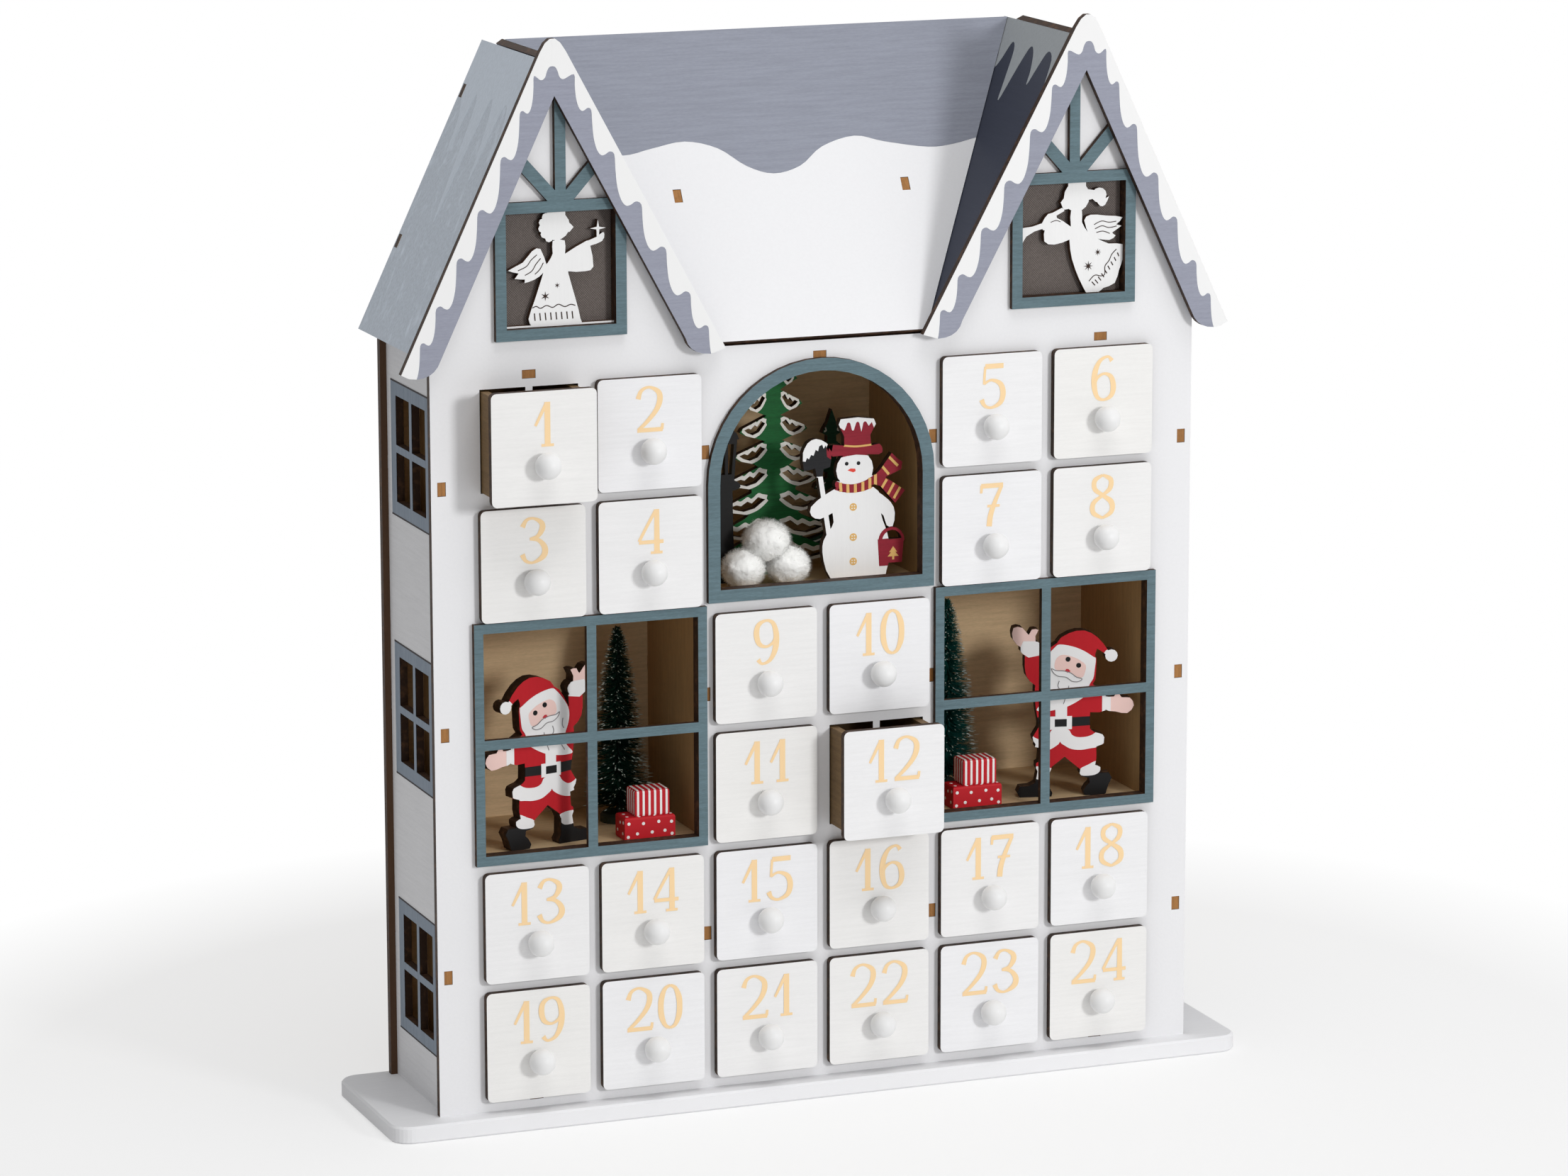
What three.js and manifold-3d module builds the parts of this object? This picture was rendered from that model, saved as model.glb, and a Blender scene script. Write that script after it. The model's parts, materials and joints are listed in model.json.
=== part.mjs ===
// Wooden advent calendar shaped as a twin-gabled house with 24 drawers.
// Millimetres. X to the right, -Y to the front, Z up.
// X = 0 is the middle, Y = 0 the face of the front panel, Z = 0 the underside of the base board.
import * as THREE from 'three';
import Module from 'manifold-3d';

const wasm = await Module();
wasm.setup();

// Sheet thicknesses and fits
const PLY = 3;
const FRAME_PLY = 2.3;
const SEAT_GAP = 0.3;
const SLOT_PLAY = 0.1;
const TENON_RECESS = 0.2;
const TENON_WIDTH = 5;

// Drawer grid: columns left to right, rows bottom to top
const PITCH = 45;
const LOWEST_ROW = 31.5;
const TOP_ROW = LOWEST_ROW + 5 * PITCH;
const OPENING_WIDTH = PITCH - 7.5;
const OPENING_BELOW = PITCH / 2 - 4.1;
const OPENING_ABOVE = PITCH / 2 - 2.9;
const TONGUE_WIDTH = 2.7;
const TONGUE_DROP = 3.3;
const SHELF_DROP = 0.5;

// House shell
const HOUSE_HALF_WIDTH = 3 * PITCH + 15;
const BACK_FRONT = 59.5;
const WALL_CENTRE = HOUSE_HALF_WIDTH - 4;
const WALL_TENON_HEIGHTS = [LOWEST_ROW + 27.5, LOWEST_ROW + 118.4, LOWEST_ROW + 209.2];
const DIVIDER_CENTRE = PITCH;
const DIVIDER_TENON_HEIGHTS = [LOWEST_ROW + 34.5, LOWEST_ROW + 125.3, LOWEST_ROW + 215.9];
const INNER_WALL_FACE = 3 * PITCH - 3;
const MIDDLE_TOP = TOP_ROW + 29.7;

// Base board
const BASE_HALF_WIDTH = HOUSE_HALF_WIDTH + 20;
const BASE_FRONT = -8.7;
const BASE_BACK = BACK_FRONT + PLY + 2.5;
const BASE_THICKNESS = 6.5;
const BASE_CORNER = 8;
const BASE_EDGE = 0.8;
const TAB_CENTRE = 78.6;
const TAB_WIDTH = 30;

// Gable lines, given for the right gable: edge line of the bargeboard, foot and run per height
const OUTER_FOOT = new THREE.Vector2(HOUSE_HALF_WIDTH + 12.2, MIDDLE_TOP - 2.1);
const OUTER_RUN = 0.472;
const INNER_FOOT = new THREE.Vector2(DIVIDER_CENTRE - 6.2, MIDDLE_TOP + 0.3);
const INNER_RUN = 0.545;
const ROOF_INSET = 2.2;
const PANEL_INSET = ROOF_INSET + PLY + SEAT_GAP;
const RIDGE_HEIGHT = linesMeet(ROOF_INSET + PLY)[1] - 0.9;
const GABLE_FLAT = linesMeet(PANEL_INSET)[1] - 5.5;
const OUTER_EAVE = MIDDLE_TOP + 4.1;
const INNER_EAVE = MIDDLE_TOP + 2;
const ROOF_FRONT = -2.5;
const ROOF_BACK = BACK_FRONT + 4;
const ROOF_TENON_HEIGHTS = [RIDGE_HEIGHT - 19.3, RIDGE_HEIGHT - 73.3];

// Bargeboards
const BARGE_WIDTH = 11.5;
const BARGE_FRONT = -5.5;
const BARGE_APEX_ROUND = 5;
const BARGE_FOOT_DROP = 1.8;
const BARGE_FOOT_ROUND = 9;

// Main roof between the gables
const MAIN_EAVE = new THREE.Vector2(-1.5, MIDDLE_TOP + 1.8);
const MAIN_TOP = new THREE.Vector2(BACK_FRONT + 0.5, RIDGE_HEIGHT + 0.2);
const MAIN_SLOPE = (MAIN_TOP.y - MAIN_EAVE.y) / (MAIN_TOP.x - MAIN_EAVE.x);
const MAIN_ANGLE = Math.atan(MAIN_SLOPE);
const MAIN_TENON_Y = 27.4;
const BACK_MIDDLE_TOP = mainFace(BACK_FRONT, PLY + SEAT_GAP) - 0.5;

// Number, column and row of every drawer
const DRAWERS = [
  [1, 0, 5], [2, 1, 5], [3, 0, 4], [4, 1, 4], [5, 4, 5], [6, 5, 5], [7, 4, 4], [8, 5, 4],
  [9, 2, 3], [10, 3, 3], [11, 2, 2], [12, 3, 2],
  [13, 0, 1], [14, 1, 1], [15, 2, 1], [16, 3, 1], [17, 4, 1], [18, 5, 1],
  [19, 0, 0], [20, 1, 0], [21, 2, 0], [22, 3, 0], [23, 4, 0], [24, 5, 0],
];

// Drawers
const FRONT_WIDTH = PITCH - 5;
const FRONT_HEIGHT = PITCH - 3.6;
const FRONT_ROUND = 2;
const FRONT_STANDOFF = 0.3;
const BOX_WIDTH = OPENING_WIDTH - 1;
const BOX_LIFT = 0.3;
const BOX_HEADROOM = 0.8;
const BOX_WALL = 3;
const BOX_REACH = 46.7;
const KNOB_RADIUS = 4.8;
const KNOB_NECK = 2;
const KNOB_DROP = 6;
const KNOB_REACH = 8.9;
const OPEN_DRAWERS = { 1: 13.5, 12: 14.6 };

// Window frames, arch frame and gable frames
const WINDOW_INNER = [PITCH + 3.9, 3 * PITCH - 3.3, shelfTop(2) + 1.2, shelfTop(4) - 5.8];
const WINDOW_BORDER_SIDE = 3.5;
const WINDOW_BORDER_END = 3.6;
const MUNTIN = 3.7;
const ARCH_HALF = PITCH - 5;
const ARCH_BORDER = 4.7;
const ARCH_BOTTOM = shelfTop(4) + 3.4;
const ARCH_TOP = MIDDLE_TOP - 11;
const GABLE_WINDOW_CENTRE = linesMeet(0)[0] - 3.8;
const GABLE_WINDOW_WIDTH = 41.6;
const GABLE_WINDOW_BOTTOM = MIDDLE_TOP + 11.2;
const GABLE_WINDOW_HEIGHT = 41.8;
const GABLE_BORDER = 4.1;
const GABLE_POST_TOP = GABLE_FLAT - 5;
const GABLE_BRACE = 4.6;
const GABLE_BRACE_ANGLE = 48;

// Side windows
const SIDE_WINDOW_CENTRE = 31.25;
const SIDE_WINDOW_FIRST = 26.5;
const SIDE_WINDOW_PITCH = 98;
const SIDE_WINDOW_HEIGHT = 50;
const SIDE_PANE_WIDTH = 16.2;
const SIDE_PANE_HEIGHT = 18.4;
const SIDE_BAR = 2.8;

// Figures
const SANTA_PLY = 5;
const SANTA_PLACE = new THREE.Vector2(105, 9.6);
const SANTA_YAW = 13.2;
const SNOWMAN_FRONT = 10;
const FIR_FRONT = 34;
const FIR_AXIS = -5.2;
const FIR_TRUNK = 5.4;
const FIR_TIERS = 8;
const FIR_TIER_PITCH = 9.6;
const FIR_LOWEST_REACH = 23.5;
const FIR_REACH_STEP = 2;
const LAMP_FRONT = 24.2;
const LAMP_AXIS = -27.6;
const BRUSH_PLACE = new THREE.Vector2(66.5, 37);
const BRUSH_HEIGHT = 77;
const BRUSH_RADIUS = 13.5;
const BRUSH_LIFT = 7;
const BRUSH_RINGS = 19;
const BRUSH_PER_RING = 8;
const SCREEN_PLY = 1.5;

// Finishes
const FINISH = {
  white: [0xece9e3, 0.6],
  birch: [0xc9a87a, 0.7],
  slate: [0x60787f, 0.65],
  lavender: [0xa3a7b8, 0.65],
  roof: [0x56616a, 0.7],
  print: [0xf2efe8, 0.5],
  red: [0xb3202c, 0.5],
  green: [0x1f5a34, 0.8],
  wool: [0xf4f2ee, 0.95],
};

// Solids from geometry, and back
function solid(geometry) {
  geometry.deleteAttribute('normal');
  geometry.deleteAttribute('uv');
  const merged = mergeVertices(geometry);
  const triangles = facesOut(merged) ? merged.index : merged.index.slice().reverse();
  const mesh = new wasm.Mesh({
    numProp: 3,
    vertProperties: Float32Array.from(merged.position),
    triVerts: Uint32Array.from(triangles),
  });
  mesh.merge();
  return new wasm.Manifold(mesh);
}

function facesOut({ position, index }) {
  const corner = (i) => new THREE.Vector3().fromArray(position, 3 * index[i]);
  let volume = 0;
  for (let i = 0; i < index.length; i += 3) volume += corner(i).dot(corner(i + 1).cross(corner(i + 2)));
  return volume > 0;
}

function mergeVertices(geometry) {
  const source = geometry.getAttribute('position');
  const index = geometry.index ? Array.from(geometry.index.array) : [...Array(source.count).keys()];
  const seen = new Map();
  const position = [];
  const remap = index.map((i) => {
    const p = [source.getX(i), source.getY(i), source.getZ(i)];
    const key = p.map((v) => Math.round(v * 1e4)).join(',');
    if (!seen.has(key)) {
      seen.set(key, position.length / 3);
      position.push(...p);
    }
    return seen.get(key);
  });
  const triangles = [];
  for (let i = 0; i < remap.length; i += 3) {
    const [a, b, c] = remap.slice(i, i + 3);
    if (a !== b && b !== c && c !== a) triangles.push(a, b, c);
  }
  return { position, index: triangles };
}

function join(solids) {
  return solids.reduce((sum, next) => sum.add(next));
}

function cut(body, tools) {
  return tools.reduce((rest, tool) => rest.subtract(tool), body);
}

// Plates: upright ones face the front, sideways ones face left and right; holes are cut through
function upright(shape, front, thickness = PLY, curveSegments = 6) {
  return plate(shape, thickness, curveSegments, (geometry) => {
    geometry.rotateX(Math.PI / 2);
    geometry.translate(0, front + thickness, 0);
  });
}

function sideways(shape, left, thickness = PLY) {
  const turn = new THREE.Matrix4().makeBasis(
    new THREE.Vector3(0, 1, 0), new THREE.Vector3(0, 0, 1), new THREE.Vector3(1, 0, 0));
  return plate(shape, thickness, 6, (geometry) => {
    geometry.applyMatrix4(turn);
    geometry.translate(left, 0, 0);
  });
}

function plate(shape, thickness, curveSegments, place) {
  const body = slab(shape.getPoints(curveSegments), 0, thickness, place);
  const tools = shape.holes.map((path) => slab(path.getPoints(), 1, thickness, place));
  return tools.length ? body.subtract(join(tools)) : body;
}

function slab(points, extra, thickness, place) {
  const options = { depth: thickness + 2 * extra, bevelEnabled: false };
  const geometry = new THREE.ExtrudeGeometry(new THREE.Shape(points), options);
  geometry.translate(0, 0, -extra);
  place(geometry);
  return solid(geometry);
}

function block(x0, x1, y0, y1, z0, z1) {
  const geometry = new THREE.BoxGeometry(x1 - x0, y1 - y0, z1 - z0);
  geometry.translate((x0 + x1) / 2, (y0 + y1) / 2, (z0 + z1) / 2);
  return solid(geometry);
}

function polygon(points) {
  return new THREE.Shape(points.map(([x, y]) => new THREE.Vector2(x, y)));
}

function curved(points, perSpan = 4) {
  const anchors = [...points, points[0]].map(([x, y]) => new THREE.Vector2(x, y));
  const samples = new THREE.SplineCurve(anchors).getPoints(points.length * perSpan);
  return new THREE.Shape(samples.slice(0, -1));
}

function rectangle(x0, x1, y0, y1) {
  return [[x0, y0], [x1, y0], [x1, y1], [x0, y1]];
}

function hole(shape, points) {
  shape.holes.push(new THREE.Path(points.map(([x, y]) => new THREE.Vector2(x, y))));
}

function disc(x, y, rx, ry = rx, steps = 20) {
  const points = [];
  for (let i = 0; i < steps; i += 1) {
    const a = (i / steps) * 2 * Math.PI;
    points.push([x + rx * Math.cos(a), y + ry * Math.sin(a)]);
  }
  return polygon(points);
}

function roundedRectangle(halfWidth, bottom, top, radius) {
  const shape = new THREE.Shape();
  shape.moveTo(-halfWidth + radius, bottom);
  shape.lineTo(halfWidth - radius, bottom);
  shape.absarc(halfWidth - radius, bottom + radius, radius, -Math.PI / 2, 0);
  shape.absarc(halfWidth - radius, top - radius, radius, 0, Math.PI / 2);
  shape.absarc(-halfWidth + radius, top - radius, radius, Math.PI / 2, Math.PI);
  shape.absarc(-halfWidth + radius, bottom + radius, radius, Math.PI, 1.5 * Math.PI);
  return shape;
}

function mirrored(points, side) {
  const flipped = points.map(([x, z]) => [side * x, z]);
  return side < 0 ? flipped.reverse() : flipped;
}

// Gable geometry: X of the edge lines at a height, moved inwards by an inset square to the line
function outerX(z, inset) {
  return OUTER_FOOT.x - OUTER_RUN * (z - OUTER_FOOT.y) - inset * Math.hypot(1, OUTER_RUN);
}

function innerX(z, inset) {
  return INNER_FOOT.x + INNER_RUN * (z - INNER_FOOT.y) + inset * Math.hypot(1, INNER_RUN);
}

function linesMeet(inset) {
  const loss = inset * (Math.hypot(1, OUTER_RUN) + Math.hypot(1, INNER_RUN));
  const span = OUTER_FOOT.x - INNER_FOOT.x + OUTER_RUN * OUTER_FOOT.y + INNER_RUN * INNER_FOOT.y;
  const height = (span - loss) / (OUTER_RUN + INNER_RUN);
  return [outerX(height, inset), height];
}

const SHOULDER = OUTER_FOOT.y
  + (OUTER_FOOT.x - PANEL_INSET * Math.hypot(1, OUTER_RUN) - HOUSE_HALF_WIDTH) / OUTER_RUN;

// Rooms: shelf levels from the drawer rows
function columnX(column) {
  return (column - 2.5) * PITCH;
}

function rowZ(row) {
  return LOWEST_ROW + row * PITCH;
}

function shelfTop(row) {
  return rowZ(row) - OPENING_BELOW - SHELF_DROP;
}

const BACK_REAR = BACK_FRONT + PLY;
const TOP_SHELF = shelfTop(6) - SHELF_DROP + 0.1;
const WALL_INNER = WALL_CENTRE - PLY / 2;
const DIVIDER_INNER = DIVIDER_CENTRE - PLY / 2;
const DIVIDER_OUTER = DIVIDER_CENTRE + PLY / 2;
const HALVING = (PLY + BACK_FRONT) / 2;

// Base board with slots for the tabs of the panels
function baseBoard() {
  const shape = roundedRectangle(BASE_HALF_WIDTH, BASE_FRONT, BASE_BACK, BASE_CORNER);
  const geometry = new THREE.ExtrudeGeometry(shape, {
    depth: BASE_THICKNESS - 2 * BASE_EDGE,
    bevelThickness: BASE_EDGE,
    bevelSize: BASE_EDGE,
    bevelOffset: -BASE_EDGE,
    bevelSegments: 1,
    curveSegments: 4,
  });
  geometry.translate(0, 0, BASE_EDGE);
  const slots = [];
  for (const front of [0, BACK_FRONT]) {
    for (const side of [-1, 1]) slots.push(tabSlot(side * TAB_CENTRE, front));
  }
  return cut(solid(geometry), slots);
}

function tabSlot(x, front) {
  const half = TAB_WIDTH / 2 + SLOT_PLAY;
  return block(x - half, x + half, front - SLOT_PLAY, front + PLY + SLOT_PLAY, -1, BASE_THICKNESS + 1);
}

// Outline of the front and back panels, right half from bottom middle to top
function panelOutline(middle) {
  const right = [[TAB_CENTRE - TAB_WIDTH / 2, BASE_THICKNESS], [TAB_CENTRE - TAB_WIDTH / 2, TENON_RECESS]];
  right.push([TAB_CENTRE + TAB_WIDTH / 2, TENON_RECESS], [TAB_CENTRE + TAB_WIDTH / 2, BASE_THICKNESS]);
  right.push([HOUSE_HALF_WIDTH, BASE_THICKNESS], [HOUSE_HALF_WIDTH, SHOULDER]);
  right.push([outerX(GABLE_FLAT, PANEL_INSET), GABLE_FLAT], [innerX(GABLE_FLAT, PANEL_INSET), GABLE_FLAT]);
  right.push([innerX(middle, PANEL_INSET), middle]);
  const left = right.map(([x, z]) => [-x, z]).reverse();
  return polygon([...right, ...left]);
}

function slot(shape, x, z, width, height) {
  const halfW = width / 2 + SLOT_PLAY;
  const halfH = height / 2 + SLOT_PLAY;
  hole(shape, rectangle(x - halfW, x + halfW, z - halfH, z + halfH));
}

function shellSlots(shape) {
  for (const side of [-1, 1]) {
    for (const z of WALL_TENON_HEIGHTS) slot(shape, side * WALL_CENTRE, z, PLY, TENON_WIDTH);
    for (const z of DIVIDER_TENON_HEIGHTS) slot(shape, side * DIVIDER_CENTRE, z, PLY, TENON_WIDTH);
    slot(shape, side * columnX(5), TOP_SHELF - PLY / 2, TENON_WIDTH, PLY);
    slot(shape, side * columnX(5), shelfTop(0) - PLY / 2, TENON_WIDTH, PLY);
  }
  slot(shape, 0, TOP_SHELF - PLY / 2, TENON_WIDTH, PLY);
}

// Drawer opening with the stop tongue in the middle of its upper edge
function openingOutline(x, z) {
  const left = x - OPENING_WIDTH / 2;
  const right = x + OPENING_WIDTH / 2;
  const top = z + OPENING_ABOVE;
  const tongue = TONGUE_WIDTH / 2;
  const points = [[left, z - OPENING_BELOW], [right, z - OPENING_BELOW], [right, top]];
  points.push([x + tongue, top], [x + tongue, top - TONGUE_DROP + 0.6], [x + tongue - 0.6, top - TONGUE_DROP]);
  points.push([x - tongue + 0.6, top - TONGUE_DROP], [x - tongue, top - TONGUE_DROP + 0.6], [x - tongue, top]);
  points.push([left, top]);
  return points;
}

function archOutline(border) {
  const half = ARCH_HALF + border;
  const springing = ARCH_TOP - ARCH_HALF;
  const points = [[-half, ARCH_BOTTOM - border], [half, ARCH_BOTTOM - border]];
  for (let i = 0; i <= 24; i += 1) {
    const a = (i / 24) * Math.PI;
    points.push([half * Math.cos(a), springing + half * Math.sin(a)]);
  }
  return points;
}

function gableWindow(side, border) {
  const half = GABLE_WINDOW_WIDTH / 2 + border;
  const x = side * GABLE_WINDOW_CENTRE;
  const top = GABLE_WINDOW_BOTTOM + GABLE_WINDOW_HEIGHT;
  return rectangle(x - half, x + half, GABLE_WINDOW_BOTTOM - border, top + border);
}

function frontPanel() {
  const shape = panelOutline(MIDDLE_TOP);
  for (const [, column, row] of DRAWERS) hole(shape, openingOutline(columnX(column), rowZ(row)));
  hole(shape, archOutline(0));
  for (const side of [-1, 1]) {
    hole(shape, mirrored(rectangle(...WINDOW_INNER), side));
    hole(shape, gableWindow(side, 0));
  }
  shellSlots(shape);
  return upright(shape, 0);
}

function backPanel() {
  const shape = panelOutline(BACK_MIDDLE_TOP);
  shellSlots(shape);
  const plate = upright(shape, BACK_FRONT);
  const tenons = [];
  for (const side of [-1, 1]) {
    for (const height of ROOF_TENON_HEIGHTS) tenons.push(roofTenon(side, height, 0, TENON_RECESS));
  }
  return join([plate, ...tenons]);
}

// Tenon of the back panel, square to the outer slope of a gable, or its slot with play
function roofTenon(side, height, play, recess) {
  const slope = Math.atan(OUTER_RUN);
  const half = TENON_WIDTH / 2 + play;
  const reach = PLY + 2 * SEAT_GAP + 1 - recess;
  const geometry = new THREE.BoxGeometry(reach, PLY + 2 * play, 2 * half);
  geometry.translate(reach / 2 - SEAT_GAP - 1, BACK_FRONT + PLY / 2, 0);
  geometry.rotateY(-slope);
  geometry.translate(outerX(height, ROOF_INSET + PLY), 0, height);
  if (side < 0) geometry.rotateZ(Math.PI).translate(0, 2 * BACK_FRONT + PLY, 0);
  return solid(geometry);
}

// Outer wall with three cut-through four-pane windows
function sideWall(side) {
  const top = OUTER_FOOT.y + (OUTER_FOOT.x - PANEL_INSET * Math.hypot(1, OUTER_RUN)
    - WALL_CENTRE - PLY / 2) / OUTER_RUN;
  const shape = tenonedEdge(BASE_THICKNESS, () => top, WALL_TENON_HEIGHTS);
  for (let i = 0; i < 3; i += 1) {
    const middle = SIDE_WINDOW_FIRST + i * SIDE_WINDOW_PITCH + SIDE_WINDOW_HEIGHT / 2;
    for (const dy of [-1, 1]) {
      for (const dz of [-1, 1]) {
        const y = SIDE_WINDOW_CENTRE + dy * (SIDE_PANE_WIDTH + SIDE_BAR) / 2;
        const z = middle + dz * (SIDE_PANE_HEIGHT + SIDE_BAR) / 2;
        const pane = [y - SIDE_PANE_WIDTH / 2, y + SIDE_PANE_WIDTH / 2];
        hole(shape, rectangle(...pane, z - SIDE_PANE_HEIGHT / 2, z + SIDE_PANE_HEIGHT / 2));
      }
    }
  }
  return sideways(shape, side * WALL_CENTRE - PLY / 2);
}

// Upright board between the panels, with tenons into both
function tenonedEdge(bottom, topAt, heights) {
  const half = TENON_WIDTH / 2;
  const points = [[PLY, bottom], [BACK_FRONT, bottom]];
  for (const z of heights) {
    points.push([BACK_FRONT, z - half], [BACK_REAR - TENON_RECESS, z - half]);
    points.push([BACK_REAR - TENON_RECESS, z + half], [BACK_FRONT, z + half]);
  }
  points.push([BACK_FRONT, topAt(BACK_FRONT)], [PLY, topAt(PLY)]);
  for (const z of [...heights].reverse()) {
    points.push([PLY, z + half], [TENON_RECESS, z + half]);
    points.push([TENON_RECESS, z - half], [PLY, z - half]);
  }
  return polygon(points);
}

// Underside and upper face of the main roof at a depth
function mainFace(y, below) {
  return MAIN_EAVE.y + (y - MAIN_EAVE.x) * MAIN_SLOPE - below / Math.cos(MAIN_ANGLE);
}

// Tenon of a divider through the main roof, or its slot with play
function mainTenon(side, play, recess) {
  const width = PLY + 2 * play;
  const length = TENON_WIDTH + 2 * play;
  const rise = PLY + SEAT_GAP + 1 - recess;
  const geometry = new THREE.BoxGeometry(width, length, rise);
  geometry.translate(0, 0, rise / 2 - PLY - SEAT_GAP - 1);
  geometry.rotateX(MAIN_ANGLE);
  geometry.translate(side * DIVIDER_CENTRE, MAIN_TENON_Y, mainFace(MAIN_TENON_Y, 0));
  return solid(geometry);
}

function divider(side) {
  const topAt = (y) => mainFace(y, PLY + SEAT_GAP);
  const board = sideways(tenonedEdge(BASE_THICKNESS, topAt, DIVIDER_TENON_HEIGHTS),
    side * DIVIDER_CENTRE - PLY / 2);
  const notches = [];
  const x = side * DIVIDER_CENTRE;
  for (const top of [shelfTop(0), shelfTop(1), shelfTop(2), shelfTop(4), TOP_SHELF]) {
    notches.push(block(x - PLY, x + PLY, 0, HALVING, top - PLY - SLOT_PLAY, top + SLOT_PLAY));
  }
  return cut(board, notches).add(mainTenon(side, 0, TENON_RECESS));
}

// Shelf as a flat plate, with the halving slots for the dividers open to the back
function shelf(halfWidth, top, tenons, crossed = true) {
  const plates = [block(-halfWidth, halfWidth, PLY, BACK_FRONT, top - PLY, top)];
  const half = TENON_WIDTH / 2;
  for (const x of tenons) {
    plates.push(block(x - half, x + half, TENON_RECESS, BACK_REAR - TENON_RECESS, top - PLY, top));
  }
  const slots = [];
  if (crossed) {
    for (const side of [-1, 1]) {
      const x = side * DIVIDER_CENTRE;
      const edge = PLY / 2 + SLOT_PLAY;
      slots.push(block(x - edge, x + edge, HALVING, BACK_FRONT + 1, top - PLY - 1, top + 1));
    }
  }
  return cut(join(plates), slots);
}

const SIDE_TENONS = [15, 47];

// Shelf held in the inner walls by two tenons at each end
function roomShelf(row) {
  const top = shelfTop(row);
  const plates = [shelf(INNER_WALL_FACE, top, [])];
  for (const side of [-1, 1]) {
    for (const y of SIDE_TENONS) plates.push(endTenon(side, y, top, 0));
  }
  return join(plates);
}

function endTenon(side, y, top, play) {
  const half = TENON_WIDTH / 2 + play;
  const near = side * (INNER_WALL_FACE - 1);
  const far = side * (INNER_WALL_FACE + PLY - TENON_RECESS + 2 * play);
  return block(Math.min(near, far), Math.max(near, far), y - half, y + half, top - PLY - play, top + play);
}

function longShelf(top, tenons) {
  const slots = [];
  for (const side of [-1, 1]) {
    const x = side * (INNER_WALL_FACE + PLY / 2);
    const edge = PLY / 2 + SLOT_PLAY;
    for (const y of SIDE_TENONS) {
      const half = TENON_WIDTH / 2 + SLOT_PLAY;
      slots.push(block(x - edge, x + edge, y - half, y + half, top - PLY - 1, top + 1));
    }
  }
  return cut(shelf(WALL_INNER, top, tenons), slots);
}

// Inner wall beside the outer drawers, with the short shelf of the upper rows on it
function innerWall(side) {
  const near = side * INNER_WALL_FACE;
  const far = side * (INNER_WALL_FACE + PLY);
  const [x0, x1] = [Math.min(near, far), Math.max(near, far)];
  const pieces = [block(x0, x1, PLY, BACK_FRONT, shelfTop(0), TOP_SHELF - PLY)];
  const low = shelfTop(0) - PLY + TENON_RECESS;
  const high = TOP_SHELF - TENON_RECESS;
  for (const y of SIDE_TENONS) {
    pieces.push(block(x0, x1, y - TENON_WIDTH / 2, y + TENON_WIDTH / 2, low, high));
  }
  const slots = [];
  for (const row of [1, 2, 4]) {
    for (const y of SIDE_TENONS) slots.push(endTenon(side, y, shelfTop(row), SLOT_PLAY));
  }
  const end = side * (INNER_WALL_FACE + 1);
  const start = side * DIVIDER_OUTER;
  const top = shelfTop(5);
  const short = block(Math.min(start, end), Math.max(start, end), PLY, BACK_FRONT, top - PLY, top);
  return cut(join(pieces), slots).add(short);
}

function centreShelf() {
  const top = shelfTop(3);
  return block(-DIVIDER_INNER, DIVIDER_INNER, PLY, BACK_FRONT, top - PLY, top);
}

// Gable roof slopes, drawn in cross-section and run from front to back
function slopeSection(line, eave, ridge, outward) {
  const a = [line(eave, ROOF_INSET), eave];
  const b = [line(ridge, ROOF_INSET), ridge];
  const inward = outward.clone().multiplyScalar(-PLY);
  return [a, b, [b[0] + inward.x, b[1] + inward.y], [a[0] + inward.x, a[1] + inward.y]];
}

function outerSlope(side) {
  const outward = new THREE.Vector2(1, OUTER_RUN).normalize();
  const section = slopeSection(outerX, OUTER_EAVE, RIDGE_HEIGHT, outward);
  const board = upright(polygon(mirrored(section, side)), ROOF_FRONT, ROOF_BACK - ROOF_FRONT);
  return cut(board, ROOF_TENON_HEIGHTS.map((height) => roofTenon(side, height, SLOT_PLAY, -2)));
}

function innerSlope(side) {
  const outward = new THREE.Vector2(-1, INNER_RUN).normalize();
  const section = slopeSection(innerX, INNER_EAVE, RIDGE_HEIGHT, outward);
  const board = upright(polygon(mirrored(section, side)), ROOF_FRONT, ROOF_BACK - ROOF_FRONT);
  const from = ROOF_FRONT - 5;
  const to = ROOF_BACK + 5;
  const under = polygon([[from, 0], [to, 0], [to, mainFace(to, PLY)], [from, mainFace(from, PLY)]]);
  return board.subtract(sideways(under, -HOUSE_HALF_WIDTH - 20, 2 * HOUSE_HALF_WIDTH + 40));
}

// Main roof: its sides are cut to meet the inner slopes of both gables
function mainRoof() {
  const inward = new THREE.Vector2(Math.sin(MAIN_ANGLE), -Math.cos(MAIN_ANGLE)).multiplyScalar(PLY);
  const section = polygon([
    [MAIN_EAVE.x, MAIN_EAVE.y], [MAIN_EAVE.x + inward.x, MAIN_EAVE.y + inward.y],
    [MAIN_TOP.x + inward.x, MAIN_TOP.y + inward.y], [MAIN_TOP.x, MAIN_TOP.y],
  ]);
  const board = sideways(section, -HOUSE_HALF_WIDTH, 2 * HOUSE_HALF_WIDTH);
  const low = MAIN_EAVE.y - 20;
  const high = MAIN_TOP.y + 20;
  const inset = ROOF_INSET - SEAT_GAP;
  const span = polygon([
    [-innerX(low, inset), low], [innerX(low, inset), low],
    [innerX(high, inset), high], [-innerX(high, inset), high],
  ]);
  const trimmed = board.intersect(upright(span, -20, BASE_BACK + 40));
  return cut(trimmed, [-1, 1].map((side) => mainTenon(side, SLOT_PLAY, -1)));
}

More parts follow.
